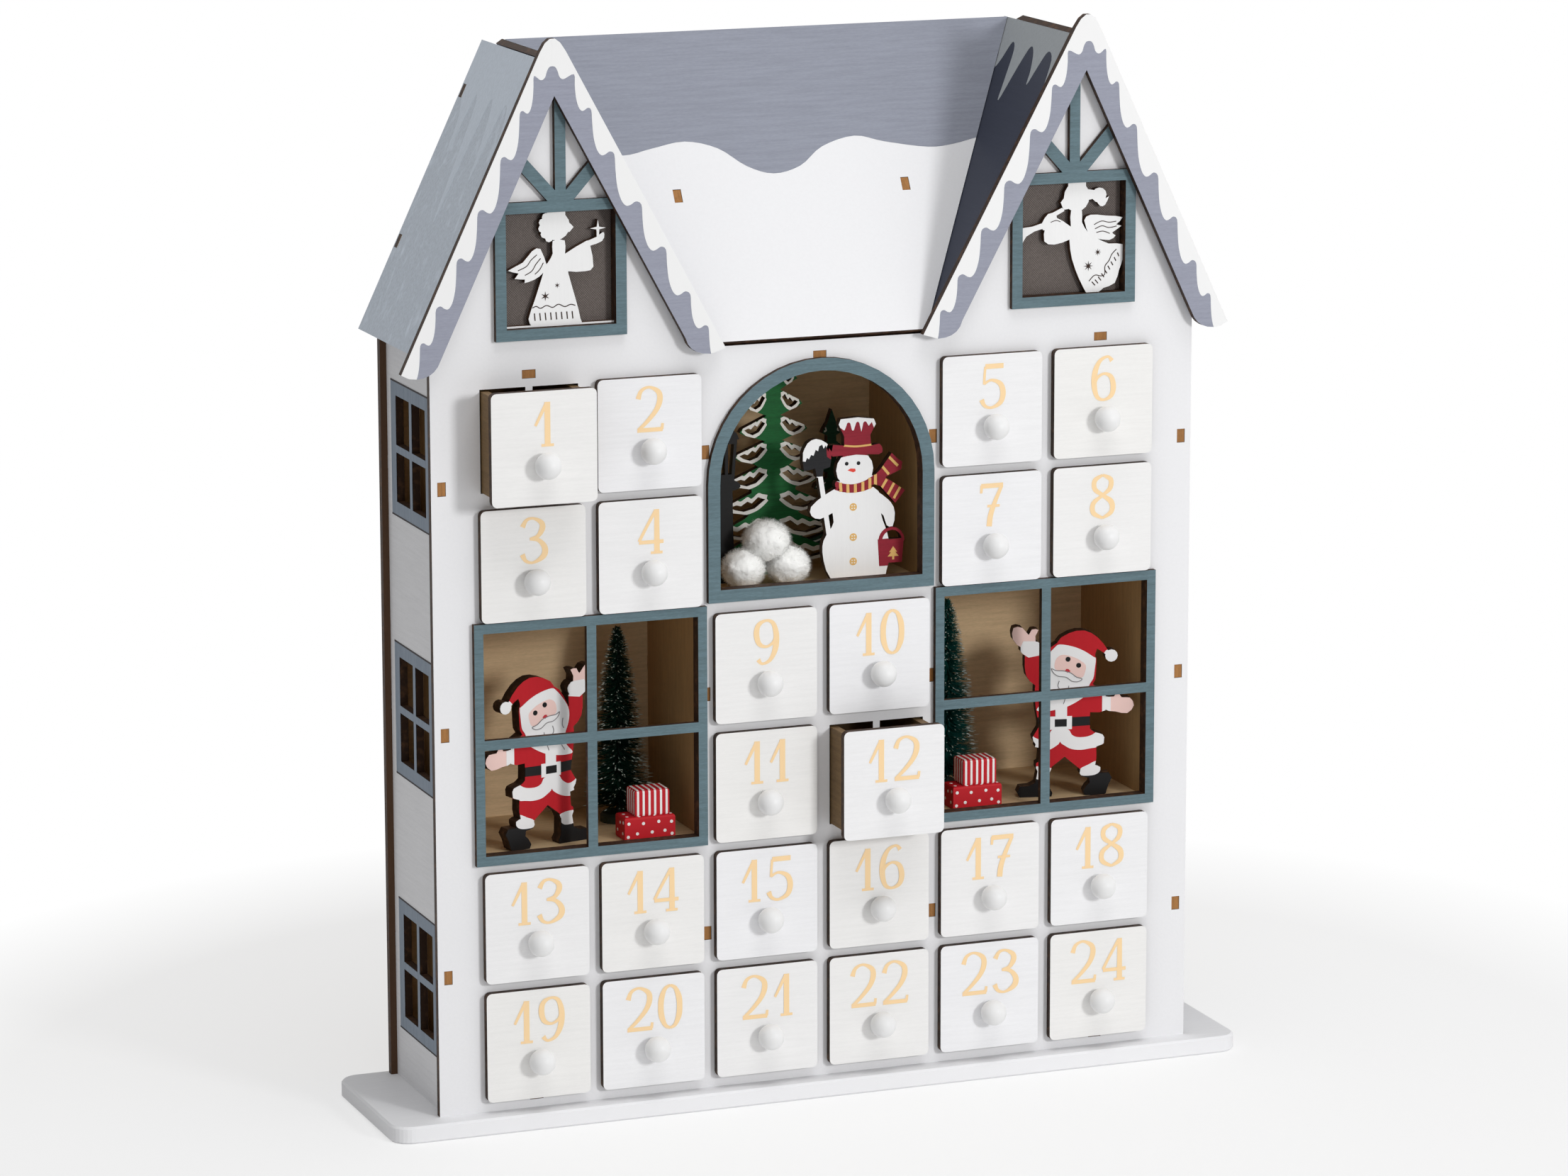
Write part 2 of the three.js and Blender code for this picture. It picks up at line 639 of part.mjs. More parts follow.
// Bargeboard: two legs with a rounded apex and rounded feet
function bargeboard(side) {
  const [apexX, apexZ] = linesMeet(0);
  const [crookX, crookZ] = linesMeet(BARGE_WIDTH);
  const cutBack = BARGE_APEX_ROUND * 1.9;
  const shape = new THREE.Shape();
  const line = (x, z) => shape.lineTo(x, z);
  const bend = (x0, z0, x1, z1) => shape.quadraticCurveTo(x0, z0, x1, z1);
  shape.moveTo(OUTER_FOOT.x, OUTER_FOOT.y);
  line(outerX(apexZ - cutBack, 0), apexZ - cutBack);
  bend(apexX, apexZ, innerX(apexZ - cutBack, 0), apexZ - cutBack);
  line(INNER_FOOT.x, INNER_FOOT.y);
  const innerRise = INNER_FOOT.y + BARGE_FOOT_ROUND / 2;
  line(INNER_FOOT.x + BARGE_WIDTH / 2, INNER_FOOT.y - BARGE_FOOT_DROP);
  bend(innerX(innerRise, BARGE_WIDTH) - 1.6, INNER_FOOT.y - BARGE_FOOT_DROP,
    innerX(innerRise, BARGE_WIDTH), innerRise);
  line(crookX, crookZ);
  const outerRise = OUTER_FOOT.y + BARGE_FOOT_ROUND / 2;
  line(outerX(outerRise, BARGE_WIDTH), outerRise);
  bend(outerX(outerRise, BARGE_WIDTH) + 2.4, OUTER_FOOT.y - BARGE_FOOT_DROP,
    OUTER_FOOT.x - BARGE_WIDTH / 2, OUTER_FOOT.y - BARGE_FOOT_DROP);
  line(OUTER_FOOT.x - 2.8, OUTER_FOOT.y - BARGE_FOOT_DROP + 0.4);
  const points = shape.getPoints(5).map((p) => [p.x, p.y]);
  return upright(polygon(mirrored(points, side)), BARGE_FRONT, ROOF_FRONT - BARGE_FRONT);
}

// Frames on the front panel
function windowFrame(side) {
  const [x0, x1, z0, z1] = WINDOW_INNER;
  const [s, e] = [WINDOW_BORDER_SIDE, WINDOW_BORDER_END];
  const shape = polygon(mirrored(rectangle(x0 - s, x1 + s, z0 - e, z1 + e), side));
  const xm = (x0 + x1) / 2;
  const zm = (z0 + z1) / 2;
  for (const [a, b] of [[x0, xm - MUNTIN / 2], [xm + MUNTIN / 2, x1]]) {
    for (const [c, d] of [[z0, zm - MUNTIN / 2], [zm + MUNTIN / 2, z1]]) {
      hole(shape, mirrored(rectangle(a, b, c, d), side));
    }
  }
  return upright(shape, -FRAME_PLY, FRAME_PLY);
}

function archFrame() {
  const shape = polygon(archOutline(ARCH_BORDER));
  hole(shape, archOutline(0));
  return upright(shape, -FRAME_PLY, FRAME_PLY);
}

// Gable frame: square window, king post and two braces, trimmed to the gable
function gableFrame(side) {
  const shape = polygon(gableWindow(side, GABLE_BORDER));
  hole(shape, gableWindow(side, 0));
  const x = side * GABLE_WINDOW_CENTRE;
  const foot = GABLE_WINDOW_BOTTOM + GABLE_WINDOW_HEIGHT + GABLE_BORDER / 2;
  const half = GABLE_BORDER / 2;
  const pieces = [upright(shape, -FRAME_PLY, FRAME_PLY)];
  pieces.push(block(x - half, x + half, -FRAME_PLY, 0, foot, GABLE_POST_TOP));
  for (const lean of [-1, 1]) {
    const geometry = new THREE.BoxGeometry(40, FRAME_PLY, GABLE_BRACE);
    geometry.translate(20, -FRAME_PLY / 2, 0);
    geometry.rotateY(lean > 0 ? -rad(GABLE_BRACE_ANGLE) : rad(GABLE_BRACE_ANGLE) - Math.PI);
    geometry.translate(x, 0, foot);
    pieces.push(solid(geometry));
  }
  return join(pieces).intersect(gableTrim(side, 0.5));
}

function gableTrim(side, inset) {
  const [low, high] = [MIDDLE_TOP, GABLE_FLAT - 2];
  const edge = PANEL_INSET + inset;
  const points = [[innerX(low, edge), low], [outerX(low, edge), low]];
  points.push([outerX(high, edge), high], [innerX(high, edge), high]);
  return upright(polygon(mirrored(points, side)), -20, 60);
}

function rad(degrees) {
  return degrees * Math.PI / 180;
}

// Drawer: front, open-topped box and ball knob in one body
function drawer(number, column, row) {
  const x = columnX(column);
  const z = rowZ(row);
  const shape = roundedRectangle(FRONT_WIDTH / 2, -FRONT_HEIGHT / 2, FRONT_HEIGHT / 2, FRONT_ROUND);
  const front = upright(shape, -FRONT_STANDOFF - PLY, PLY, 2);
  const half = BOX_WIDTH / 2;
  const bottom = -OPENING_BELOW + BOX_LIFT;
  const top = OPENING_ABOVE - BOX_HEADROOM;
  const box = block(-half, half, -FRONT_STANDOFF - 1, BOX_REACH + BOX_WALL, bottom, top);
  const room = half - BOX_WALL;
  const cavity = block(-room, room, -FRONT_STANDOFF, BOX_REACH, bottom + BOX_WALL, top + 1);
  const body = join([cut(box, [cavity]), front, knob()]);
  return body.translate([x, -(OPEN_DRAWERS[number] ?? 0), z]);
}

function knob() {
  const centre = KNOB_REACH - KNOB_RADIUS;
  const start = Math.asin(KNOB_NECK / KNOB_RADIUS);
  const profile = [new THREE.Vector2(0, -1), new THREE.Vector2(KNOB_NECK, -1)];
  for (let i = 0; i <= 4; i += 1) {
    const a = Math.PI - start - (i / 4) * (Math.PI - start);
    profile.push(new THREE.Vector2(i === 4 ? 0 : KNOB_RADIUS * Math.sin(a), centre + KNOB_RADIUS * Math.cos(a)));
  }
  const geometry = new THREE.LatheGeometry(profile, 10);
  geometry.rotateX(Math.PI);
  geometry.translate(0, -FRONT_STANDOFF - PLY, -KNOB_DROP);
  return solid(geometry);
}

// Figures are cut from flat sheet; outlines are in millimetres from the middle of their foot

// Angel holding a star, for the left gable window; heights from the lower edge of the window
function starAngel(x, z) {
  const pieces = [
    curved([[-10.6, 0.6], [-11.8, 3.3], [-9.4, 10], [-6.1, 19.5], [-6, 21.5], [-4.3, 23.3], [-2.4, 26.5], [-2.4, 31],
      [2.2, 31], [2.3, 26.2], [3.6, 20.4], [3.4, 19.2], [6, 10], [7.9, 2.3], [6.6, 0.6]], 2),
    curved([[2, 26], [10.6, 30.5], [11.9, 28.5], [13, 20.9], [9.8, 19.4], [3, 19.8], [0, 22]], 2),
    curved([[10.4, 30.3], [14.2, 31.6], [16.6, 33.2], [17.3, 32.4], [16.4, 30], [12, 28.6], [10.8, 28.8]], 2),
    curved([[-4.6, 22], [-7, 28.4], [-10.2, 27.8], [-13.8, 23.8], [-19.4, 21.2], [-15.4, 20], [-16.9, 18.1],
      [-13, 17.7], [-13.2, 16.4], [-9.3, 17.5], [-6.4, 19.4]], 2),
    disc(-1.2, 36.4, 5.4, 5.2, 16),
    polygon([[4.1, 34], [5.6, 35.7], [4.2, 37.2], [2, 37], [2, 34]]),
    polygon([[14.85, 37.9], [15.3, 35.3], [17.9, 34.8], [15.4, 34.3], [15.2, 31.5], [14.4, 31.5], [14.3, 34.3],
      [11.8, 34.8], [14.4, 35.3]]),
    polygon(rectangle(-20.8, 20.8, 0.2, 0.9)),
    polygon(rectangle(-4.5, 2.5, 38, 41.6)),
  ];
  for (let i = 0; i < 6; i += 1) {
    const a = rad(110 + 26 * i);
    pieces.push(disc(-1.2 + 5.1 * Math.cos(a), 36.4 + 4.9 * Math.sin(a), 1.5, 1.5, 8));
  }
  return join(pieces.map((shape) => upright(shape, 0))).translate([x, 0, z]);
}

// Angel blowing a trumpet, for the right gable window
function trumpetAngel(x, z) {
  const pieces = [
    curved([[6, 0], [3, 5.6], [0.15, 13], [-0.9, 20], [-0.4, 25.5], [-0.4, 31], [4, 31], [4.1, 26.6], [6.8, 22.4],
      [10, 20.4], [15, 18], [20.8, 17.4], [20.8, 12], [19.4, 8], [17.6, 3], [13, 1.4], [10.9, 0]], 2),
    curved([[-0.2, 25], [-7.4, 29.4], [-10.6, 26], [-11.1, 20.2], [-7, 18.8], [-1, 20.3], [1.5, 22]], 2),
    curved([[-6.6, 30.6], [-9.6, 30.4], [-12.1, 27], [-11.6, 24.4], [-8, 25], [-6, 27.6]], 2),
    polygon([[-11.5, 27.2], [-16, 26], [-20.8, 25.6], [-20.8, 18.6], [-18.4, 22.4], [-15, 24.2], [-11.5, 25]]),
    polygon([[-8.6, 30.4], [-4, 32.4], [-3, 31.2], [-7.4, 29]]),
    curved([[7, 21.6], [5, 27.2], [7.6, 29.2], [13.5, 28.6], [20.6, 27.6], [18, 25], [20.2, 24.4], [16.4, 22],
      [17.8, 20.9], [15.3, 19.3], [10, 20.2]], 2),
    disc(1.9, 36.2, 5.2, 5.6, 16),
    disc(11, 36.4, 3, 2.8, 12),
    curved([[9.6, 34.6], [11.4, 32.3], [13.4, 32.6], [15, 35.8], [13.4, 34.9], [13.2, 37]], 2),
    polygon([[-4.6, 34.4], [-2.6, 36.8], [0, 36.8], [0, 32], [-3.4, 31.6]]),
    polygon([[5.6, 34.6], [10.4, 35.4], [9.6, 38.2], [5.6, 39]]),
    polygon(rectangle(-1.6, 5.6, 38, 41.6)),
  ];
  return join(pieces.map((shape) => upright(shape, 0))).translate([x, 0, z]);
}

// Angel plate in the opening of the front panel, with the woven screen behind it
function angelInsert(side) {
  const figure = side < 0 ? starAngel : trumpetAngel;
  const plate = figure(side * GABLE_WINDOW_CENTRE, GABLE_WINDOW_BOTTOM);
  const [near, far] = [GABLE_WINDOW_WIDTH / 2, GABLE_WINDOW_HEIGHT];
  const x = side * GABLE_WINDOW_CENTRE;
  const room = block(x - near + 0.1, x + near - 0.1, -1, PLY, GABLE_WINDOW_BOTTOM + 0.1,
    GABLE_WINDOW_BOTTOM + far - 0.1);
  const screen = upright(polygon(gableWindow(side, GABLE_BORDER - 0.2)), PLY, SCREEN_PLY);
  const joint = upright(polygon(gableWindow(side, -0.4)), PLY - 0.4, 0.6);
  return join([plate.intersect(room), screen, joint]).intersect(gableTrim(side, 0.5));
}

// Santa with a raised and a stretched arm; the raised one is on the positive side
function santaPieces() {
  return [
    curved([[-8.3, 26], [-8.3, 33], [-10, 37], [-9, 44], [0, 50], [9, 49], [12.5, 46], [13, 38], [12, 31], [11.6, 27],
      [13.8, 23.4], [12.6, 20.6], [10.6, 19], [-10.8, 19], [-13.7, 21.2], [-13.2, 23.6], [-10, 24.6]], 2),
    polygon([[-10.8, 19.6], [-10.9, 14.5], [-10, 10], [-6.2, 9], [1.4, 15.4], [6.6, 11.4], [11.6, 12.4], [11, 19.6]]),
    curved([[-12.4, 10.9], [-9.4, 12], [-4.7, 10.1], [-5.2, 7.6], [-9, 7], [-12, 8.4]], 2),
    curved([[6.2, 12.6], [9.6, 14], [12.4, 13.2], [11.6, 9.6], [7.4, 9]], 2),
    polygon([[-11.6, 8.6], [-15.8, 8.6], [-16.9, 6.6], [-15.6, 4], [-14.6, 0.6], [-13.6, 0], [-6.6, 0],
      [-5.9, 1.6], [-7, 3.6], [-8.4, 5], [-8, 8]]),
    polygon([[7.2, 9.6], [7, 3.2], [6, 1.4], [6.4, 0], [18.4, 0], [19.6, 2], [18.6, 4.2], [15, 4.4], [12.6, 5.6],
      [11.8, 10]]),
    curved([[-6, 45], [-12, 41.6], [-14.2, 38.6], [-14.2, 33], [-9, 32.4], [-4, 34]], 2),
    curved([[-14, 38.4], [-17.4, 38.2], [-18.8, 40.2], [-20.4, 37.8], [-23.6, 37.6], [-25.2, 34.6], [-22.6, 31.6],
      [-18, 32.4], [-14, 33.4]], 2),
    curved([[7, 47], [11, 51.6], [10.8, 55.6], [15.6, 58.6], [17, 54], [16.4, 47.4], [13, 43.6], [9, 43]], 2),
    curved([[10.4, 58.2], [12, 60.4], [17.6, 60.4], [18.6, 56.8], [15.6, 54.6], [11.4, 55.6]], 2),
    curved([[12.6, 58.6], [13, 62.6], [11.8, 65], [14.4, 65.2], [15.6, 63.2], [18, 66], [21.4, 66], [21.6, 61.6],
      [17.8, 58]], 2),
    curved([[-10.2, 45], [-10.6, 52], [-9.4, 54.6], [-2, 57.6], [4.7, 59.6], [8.6, 55.6], [11.4, 48.6], [9.2, 42],
      [12.4, 34.4], [3, 34], [-5, 37.4]], 2),
    curved([[-10, 53.4], [-10.8, 57], [-14, 54.8], [-15, 56.2], [-11, 61.4], [-5.8, 64.2], [0, 63.4], [4.6, 59.8],
      [-2, 56]], 2),
    disc(-16.3, 54.2, 2.4, 2.4, 12),
  ];
}

function santa(side) {
  const plates = santaPieces().map((shape) => {
    const points = shape.getPoints().map((p) => [p.x, p.y]);
    return upright(polygon(mirrored(points, -side)), 0, SANTA_PLY);
  });
  const place = [side * SANTA_PLACE.x, SANTA_PLACE.y, shelfTop(2)];
  return join(plates).rotate([0, 0, -side * SANTA_YAW]).translate(place);
}

// Snowman with hat, scarf, shovel and pail; X from the middle of the house
function snowman() {
  const pieces = [
    curved([[9.8, -0.6], [6.4, 5], [4.9, 12], [5.4, 16.4], [7.6, 19.8], [9.4, 23], [8.6, 28], [8.4, 32], [12, 35.4],
      [18, 36.4], [25, 35.4], [28.6, 31], [28.4, 24.6], [30, 20], [31.4, 15], [31.8, 9], [30.6, 3.4], [27.6, -0.6]], 2),
    disc(17.8, 42.4, 7.4, 7, 16),
    curved([[6.7, 50.4], [8, 52.2], [13.4, 51.6], [24.6, 51], [27.6, 51.4], [28.9, 49.2], [27.4, 47.4], [18.4, 48.2],
      [9, 47.8]], 2),
    polygon([[13.6, 51], [13.6, 55], [11.4, 59.6], [12.2, 61.6], [19, 61.9], [25.4, 61], [26.2, 59], [24, 55],
      [24.4, 50.6]]),
    curved([[10.4, 38.4], [10.2, 36], [17.4, 34], [26.4, 36.6], [26.6, 40], [17.6, 37.8]], 2),
    polygon([[24.6, 38.6], [28, 41.6], [32.6, 47.6], [34.8, 45.4], [36.8, 44], [36.4, 41.2], [30, 38.6], [37.9, 33.2],
      [36, 30.8], [34, 28.6], [28, 35.4], [24.6, 36.6]]),
    curved([[11, 36], [5.6, 33.4], [0.4, 29.4], [0.6, 26], [4, 24.6], [9, 26.6], [12, 29]], 2),
    curved([[26, 34], [32, 29.4], [33.9, 24.8], [33, 19.8], [30.6, 20.4], [29.4, 24], [27, 27]], 2),
    polygon([[3.1, 41], [5, 41], [9.6, 11], [7.7, 11]]),
    curved([[-2.8, 50], [-1, 53.4], [2.4, 54.9], [6.6, 53], [8.3, 49.4], [8, 44], [5.4, 43.4], [5, 40.4], [2.6, 40.4],
      [2, 43.8], [-2.4, 43.2]], 2),
    polygon([[27.7, 14.9], [28, 6.1], [36.7, 6], [37.5, 15]]),
  ];
  const solids = pieces.map((shape) => upright(shape, 0));
  solids.push(pailHandle());
  const floor = block(-60, 80, -5, 10, -20, 0);
  return cut(join(solids), [floor]).translate([0, SNOWMAN_FRONT, shelfTop(4)]);
}

function pailHandle() {
  const points = [];
  for (let i = 0; i <= 8; i += 1) points.push(archPoint(i / 8, 5.2, 5.4));
  for (let i = 8; i >= 0; i -= 1) points.push(archPoint(i / 8, 4.1, 4.3));
  return upright(polygon(points), 0);
}

function archPoint(t, rx, rz) {
  const a = Math.PI * (1 - t);
  return [32.6 + rx * Math.cos(a), 14.2 + rz * Math.sin(a)];
}

// Cut-out fir tree: scalloped tiers on a trunk, with a crescent cut under each branch
function firTree() {
  const floor = shelfTop(4);
  const right = [[FIR_TRUNK, 0], [FIR_TRUNK, FIR_TIER_PITCH * 0.5]];
  for (let i = 0; i < FIR_TIERS; i += 1) {
    const reach = FIR_LOWEST_REACH - i * FIR_REACH_STEP;
    const foot = FIR_TIER_PITCH * (i + 0.55);
    right.push([reach * 0.5, foot - 1.4], [reach - 2, foot], [reach, foot + 1.2], [reach - 1, foot + 2.6]);
    right.push([FIR_TRUNK / 2 + Math.max(0, reach * 0.62 - i * 1.5 - 3), foot + FIR_TIER_PITCH * 0.72]);
  }
  right.push([FIR_TRUNK / 2, FIR_TIERS * FIR_TIER_PITCH + 3], [0, FIR_TIERS * FIR_TIER_PITCH + 6.5]);
  const left = right.slice(0, -1).map(([x, z]) => [-x, z]).reverse();
  const shape = polygon([...right, ...left]);
  for (let i = 0; i < FIR_TIERS; i += 1) {
    for (const side of [-1, 1]) hole(shape, mirrored(crescent(i), side));
  }
  return upright(shape, FIR_FRONT).translate([FIR_AXIS, 0, floor]);
}

// Bowl-shaped gap in a branch, from the trunk almost to the tip
function crescent(tier) {
  const foot = FIR_TIER_PITCH * (tier + 0.55);
  const start = FIR_TRUNK / 2 + 0.6;
  const reach = FIR_LOWEST_REACH - tier * FIR_REACH_STEP - 1.8 - start;
  const bowl = [[0, 4.2], [0.3, 1], [0.6, 0], [0.85, 0.9], [1, 2]];
  const drips = [[0.8, 2.7], [0.68, 2.2], [0.5, 3.8], [0.38, 3], [0.2, 5.2], [0.1, 4.6]];
  return [...bowl, ...drips].map(([share, rise]) => [start + share * reach, foot + rise]);
}

// Street lamp standing on the floor of the arch
function lampPost() {
  const shaft = polygon([[-3.6, -0.5], [3.6, -0.5], [2.6, 18], [2.3, 36], [-2.3, 36], [-2.6, 18]]);
  const collar = curved([[-4.8, 35.4], [-5.4, 37], [-3.6, 38.4], [0, 39.4], [3.6, 38.4], [5.4, 37], [4.8, 35.4],
    [0, 34.6]], 2);
  const lantern = polygon([[-3, 38], [3, 38], [4.3, 55], [-4.3, 55]]);
  hole(lantern, [[-2, 41], [-0.6, 41], [-0.6, 52.4], [-3, 52.4]]);
  hole(lantern, [[2, 41], [3, 52.4], [0.6, 52.4], [0.6, 41]]);
  const cap = polygon([[-5, 54], [5, 54], [4, 56.4], [1, 58.8], [-1, 58.8], [-4, 56.4]]);
  const plates = [shaft, collar, lantern, cap].map((shape) => upright(shape, LAMP_FRONT));
  return join(plates).translate([LAMP_AXIS, 0, shelfTop(4)]);
}

// Two presents, one on the other, with rounded edges
function giftStack(side) {
  const floor = shelfTop(2);
  const x = side * 65.6;
  const lower = roundedBlock(19.8, 10.3, 9.1, 0.9).translate([x, 9.9, floor - 0.2]);
  const upper = roundedBlock(13.4, 9.4, 10, 0.9).translate([x + 1.2, 10.2, floor + 8.7]);
  return join([lower, upper]);
}

function roundedBlock(width, depth, height, edge) {
  const shape = polygon(rectangle(-width / 2 + edge, width / 2 - edge, -depth / 2 + edge, depth / 2 - edge));
  const geometry = new THREE.ExtrudeGeometry(shape, {
    depth: height - 2 * edge, bevelThickness: edge, bevelSize: edge, bevelSegments: 2,
  });
  geometry.translate(0, 0, edge);
  return solid(geometry);
}

// Bottle-brush tree: base, wire stem, core and bristles set in whorls
function brushTree(side) {
  const floor = shelfTop(2);
  const profile = [[0, 0], [7, 0], [7, 2.4], [6, 3.4], [1.3, 3.4], [1.3, BRUSH_LIFT], [5.4, BRUSH_LIFT + 1.5],
    [1.2, BRUSH_HEIGHT - 4], [0, BRUSH_HEIGHT - 2]];
  const points = profile.map(([r, z]) => new THREE.Vector2(r, z));
  const geometry = new THREE.LatheGeometry(points, 2 * BRUSH_PER_RING);
  geometry.rotateX(Math.PI / 2);
  geometry.rotateZ(Math.PI / (2 * BRUSH_PER_RING));
  const tree = solid(geometry).add(bristles());
  return tree.translate([side * BRUSH_PLACE.x, BRUSH_PLACE.y, floor]);
}

// All bristles of one tree as three-sided spikes, staggered from whorl to whorl
function bristles() {
  const position = [];
  for (let ring = 0; ring < BRUSH_RINGS; ring += 1) {
    const t = ring / BRUSH_RINGS;
    const z = BRUSH_LIFT + 3 + t * (BRUSH_HEIGHT - BRUSH_LIFT - 8);
    const reach = BRUSH_RADIUS * (1 - t) ** 0.85 + 1.6;
    for (let i = 0; i < BRUSH_PER_RING; i += 1) {
      const turn = 2 * Math.PI * (i + (ring % 2) / 2) / BRUSH_PER_RING;
      position.push(...spike(turn, z, reach));
    }
  }
  const geometry = new THREE.BufferGeometry();
  geometry.setAttribute('position', new THREE.Float32BufferAttribute(position, 3));
  return solid(geometry);
}

function spike(turn, z, reach) {
  const at = (r, across, up) => new THREE.Vector3(r, across, up)
    .applyAxisAngle(new THREE.Vector3(0, 0, 1), turn);
  const tip = at(reach, 0, z - 0.12 * reach);
  const foot = [at(0.5, -0.45, z - 0.4), at(0.5, 0.45, z - 0.4), at(0.5, 0, z + 0.5)];
  const faces = [[foot[0], foot[2], foot[1]], [foot[0], foot[1], tip], [foot[1], foot[2], tip],
    [foot[2], foot[0], tip]];
  return faces.flat().flatMap((p) => [p.x, p.y, p.z]);
}

// Heap of three cotton balls
function cottonBalls() {
  const floor = shelfTop(4);
  const balls = [[-25.2, 13.4, 7.5, 8.3], [-7.6, 13.2, 7.5, 8.3], [-15.6, 14.6, 17, 9]];
  return join(balls.map(([x, y, z, radius]) => {
    const geometry = new THREE.IcosahedronGeometry(radius, 1);
    geometry.scale(1.02, 1, 0.88);
    geometry.translate(x, y, floor + z);
    return solid(geometry);
  }));
}

// Nodes in the order of the parts list
function buildNodes() {
  const nodes = [
    ['base_board', baseBoard(), 'white'],
    ['front_panel', frontPanel(), 'white'],
    ['back_panel', backPanel(), 'birch'],
    ['bottom_shelf', longShelf(shelfTop(0), [-columnX(5), columnX(5)]), 'birch'],
    ['lower_shelf', roomShelf(1), 'birch'],
    ['window_shelf', join([roomShelf(2), giftStack(-1), giftStack(1)]), 'birch'],
    ['centre_shelf', centreShelf(), 'birch'],
    ['arch_shelf', roomShelf(4).add(lampPost()), 'birch'],
    ['top_shelf', longShelf(TOP_SHELF, [-columnX(5), 0, columnX(5)]), 'birch'],
    ['main_roof', mainRoof(), 'white'],
    ['arch_frame', archFrame(), 'slate'],
    ['snowman', snowman(), 'print'],
    ['fir_tree_panel', firTree(), 'green'],
    ['cotton_balls', cottonBalls(), 'wool'],
  ];
  for (const [word, side] of [['left', -1], ['right', 1]]) {
    nodes.push([`${word}_wall`, sideWall(side), 'white']);
    nodes.push([`${word}_inner_wall`, innerWall(side), 'birch']);
    nodes.push([`${word}_divider`, divider(side), 'birch']);
    nodes.push([`${word}_gable_outer_slope`, outerSlope(side), 'roof']);
    nodes.push([`${word}_gable_inner_slope`, innerSlope(side), 'roof']);
    nodes.push([`${word}_bargeboard`, bargeboard(side), 'lavender']);
    nodes.push([`${word}_window_frame`, windowFrame(side), 'slate']);
    nodes.push([`${word}_gable_frame`, gableFrame(side), 'slate']);
    nodes.push([`${word}_angel`, angelInsert(side), 'print']);
    nodes.push([`${word}_santa`, santa(side), 'red']);
    nodes.push([`${word}_brush_tree`, brushTree(side), 'green']);
  }
  for (const [number, column, row] of DRAWERS) {
    nodes.push([`drawer_${String(number).padStart(2, '0')}`, drawer(number, column, row), 'white']);
  }
  return nodes;
}

function toGeometry(body) {
  const mesh = body.getMesh();
  const geometry = new THREE.BufferGeometry();
  const position = new Float32Array(mesh.numVert * 3);
  for (let i = 0; i < mesh.numVert; i += 1) {
    for (let k = 0; k < 3; k += 1) position[i * 3 + k] = mesh.vertProperties[i * mesh.numProp + k];
  }
  geometry.setAttribute('position', new THREE.BufferAttribute(position, 3));
  geometry.setIndex(new THREE.BufferAttribute(Uint32Array.from(mesh.triVerts), 1));
  geometry.computeVertexNormals();
  return geometry;
}

const calendar = new THREE.Group();
calendar.name = 'advent_calendar';
for (const [name, body, finish] of buildNodes()) {
  const [color, roughness] = FINISH[finish];
  const material = new THREE.MeshStandardMaterial({ color, roughness, metalness: 0, flatShading: true });
  const mesh = new THREE.Mesh(toGeometry(body), material);
  mesh.name = name;
  calendar.add(mesh);
}

export default calendar;
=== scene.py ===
"""Looks of the wooden advent calendar house: paints, prints, bristles, cotton, lamps and camera."""

import json
import math
import random

import bmesh
import bpy
from mathutils import Matrix, Vector
from mathutils import noise as lumps

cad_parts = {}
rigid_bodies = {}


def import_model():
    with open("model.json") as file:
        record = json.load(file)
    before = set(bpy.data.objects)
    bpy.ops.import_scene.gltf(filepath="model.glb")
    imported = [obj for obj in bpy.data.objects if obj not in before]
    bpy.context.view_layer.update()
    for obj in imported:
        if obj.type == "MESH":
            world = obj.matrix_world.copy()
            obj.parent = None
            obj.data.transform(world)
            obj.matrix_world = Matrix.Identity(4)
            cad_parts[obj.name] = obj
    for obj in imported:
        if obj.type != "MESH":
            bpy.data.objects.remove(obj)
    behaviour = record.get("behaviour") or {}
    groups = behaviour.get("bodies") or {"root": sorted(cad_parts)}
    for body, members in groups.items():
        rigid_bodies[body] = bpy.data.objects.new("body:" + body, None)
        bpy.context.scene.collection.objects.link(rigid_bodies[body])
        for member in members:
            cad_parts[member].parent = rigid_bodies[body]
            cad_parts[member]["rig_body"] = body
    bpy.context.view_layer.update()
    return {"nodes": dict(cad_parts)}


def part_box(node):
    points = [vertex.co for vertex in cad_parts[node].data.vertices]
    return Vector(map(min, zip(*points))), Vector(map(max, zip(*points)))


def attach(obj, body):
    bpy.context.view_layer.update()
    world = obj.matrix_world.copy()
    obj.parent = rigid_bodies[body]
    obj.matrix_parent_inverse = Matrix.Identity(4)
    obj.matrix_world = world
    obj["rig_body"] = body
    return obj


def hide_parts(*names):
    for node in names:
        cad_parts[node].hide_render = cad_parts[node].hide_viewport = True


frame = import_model()
NODES = frame["nodes"]
MM = 0.001
SIDES = ((-1, "left"), (1, "right"))

# Real sizes that the frame doesn't state, in millimetres
BOARD = 3
# Drawer fronts stand this far off the facade when shut, and two are slid open
FRONT_GAP = 0.3
OPEN_DRAWERS = {1: 13.5, 12: 14.6}
PRINT_LIFT = 0.06
PRINT_DEPTH = 0.25
KNOB_RADIUS = 4.8
KNOB_SKIN = 0.05
KNOB_DROP = 6
DIGIT_HEIGHT = 16.7
DIGIT_FOOT = 0.5
DIGIT_GAP = 2.6
# The main roof rises at this angle, and faces this way
ROOF_ANGLE = math.radians(60)
ROOF_OUT = (0, -math.sin(ROOF_ANGLE), math.cos(ROOF_ANGLE))
# Tenons show as pale wood down to this depth in the facade, and from this height in the roof
TENON_DEPTH = 1
ROOF_TENON_FOOT = 306


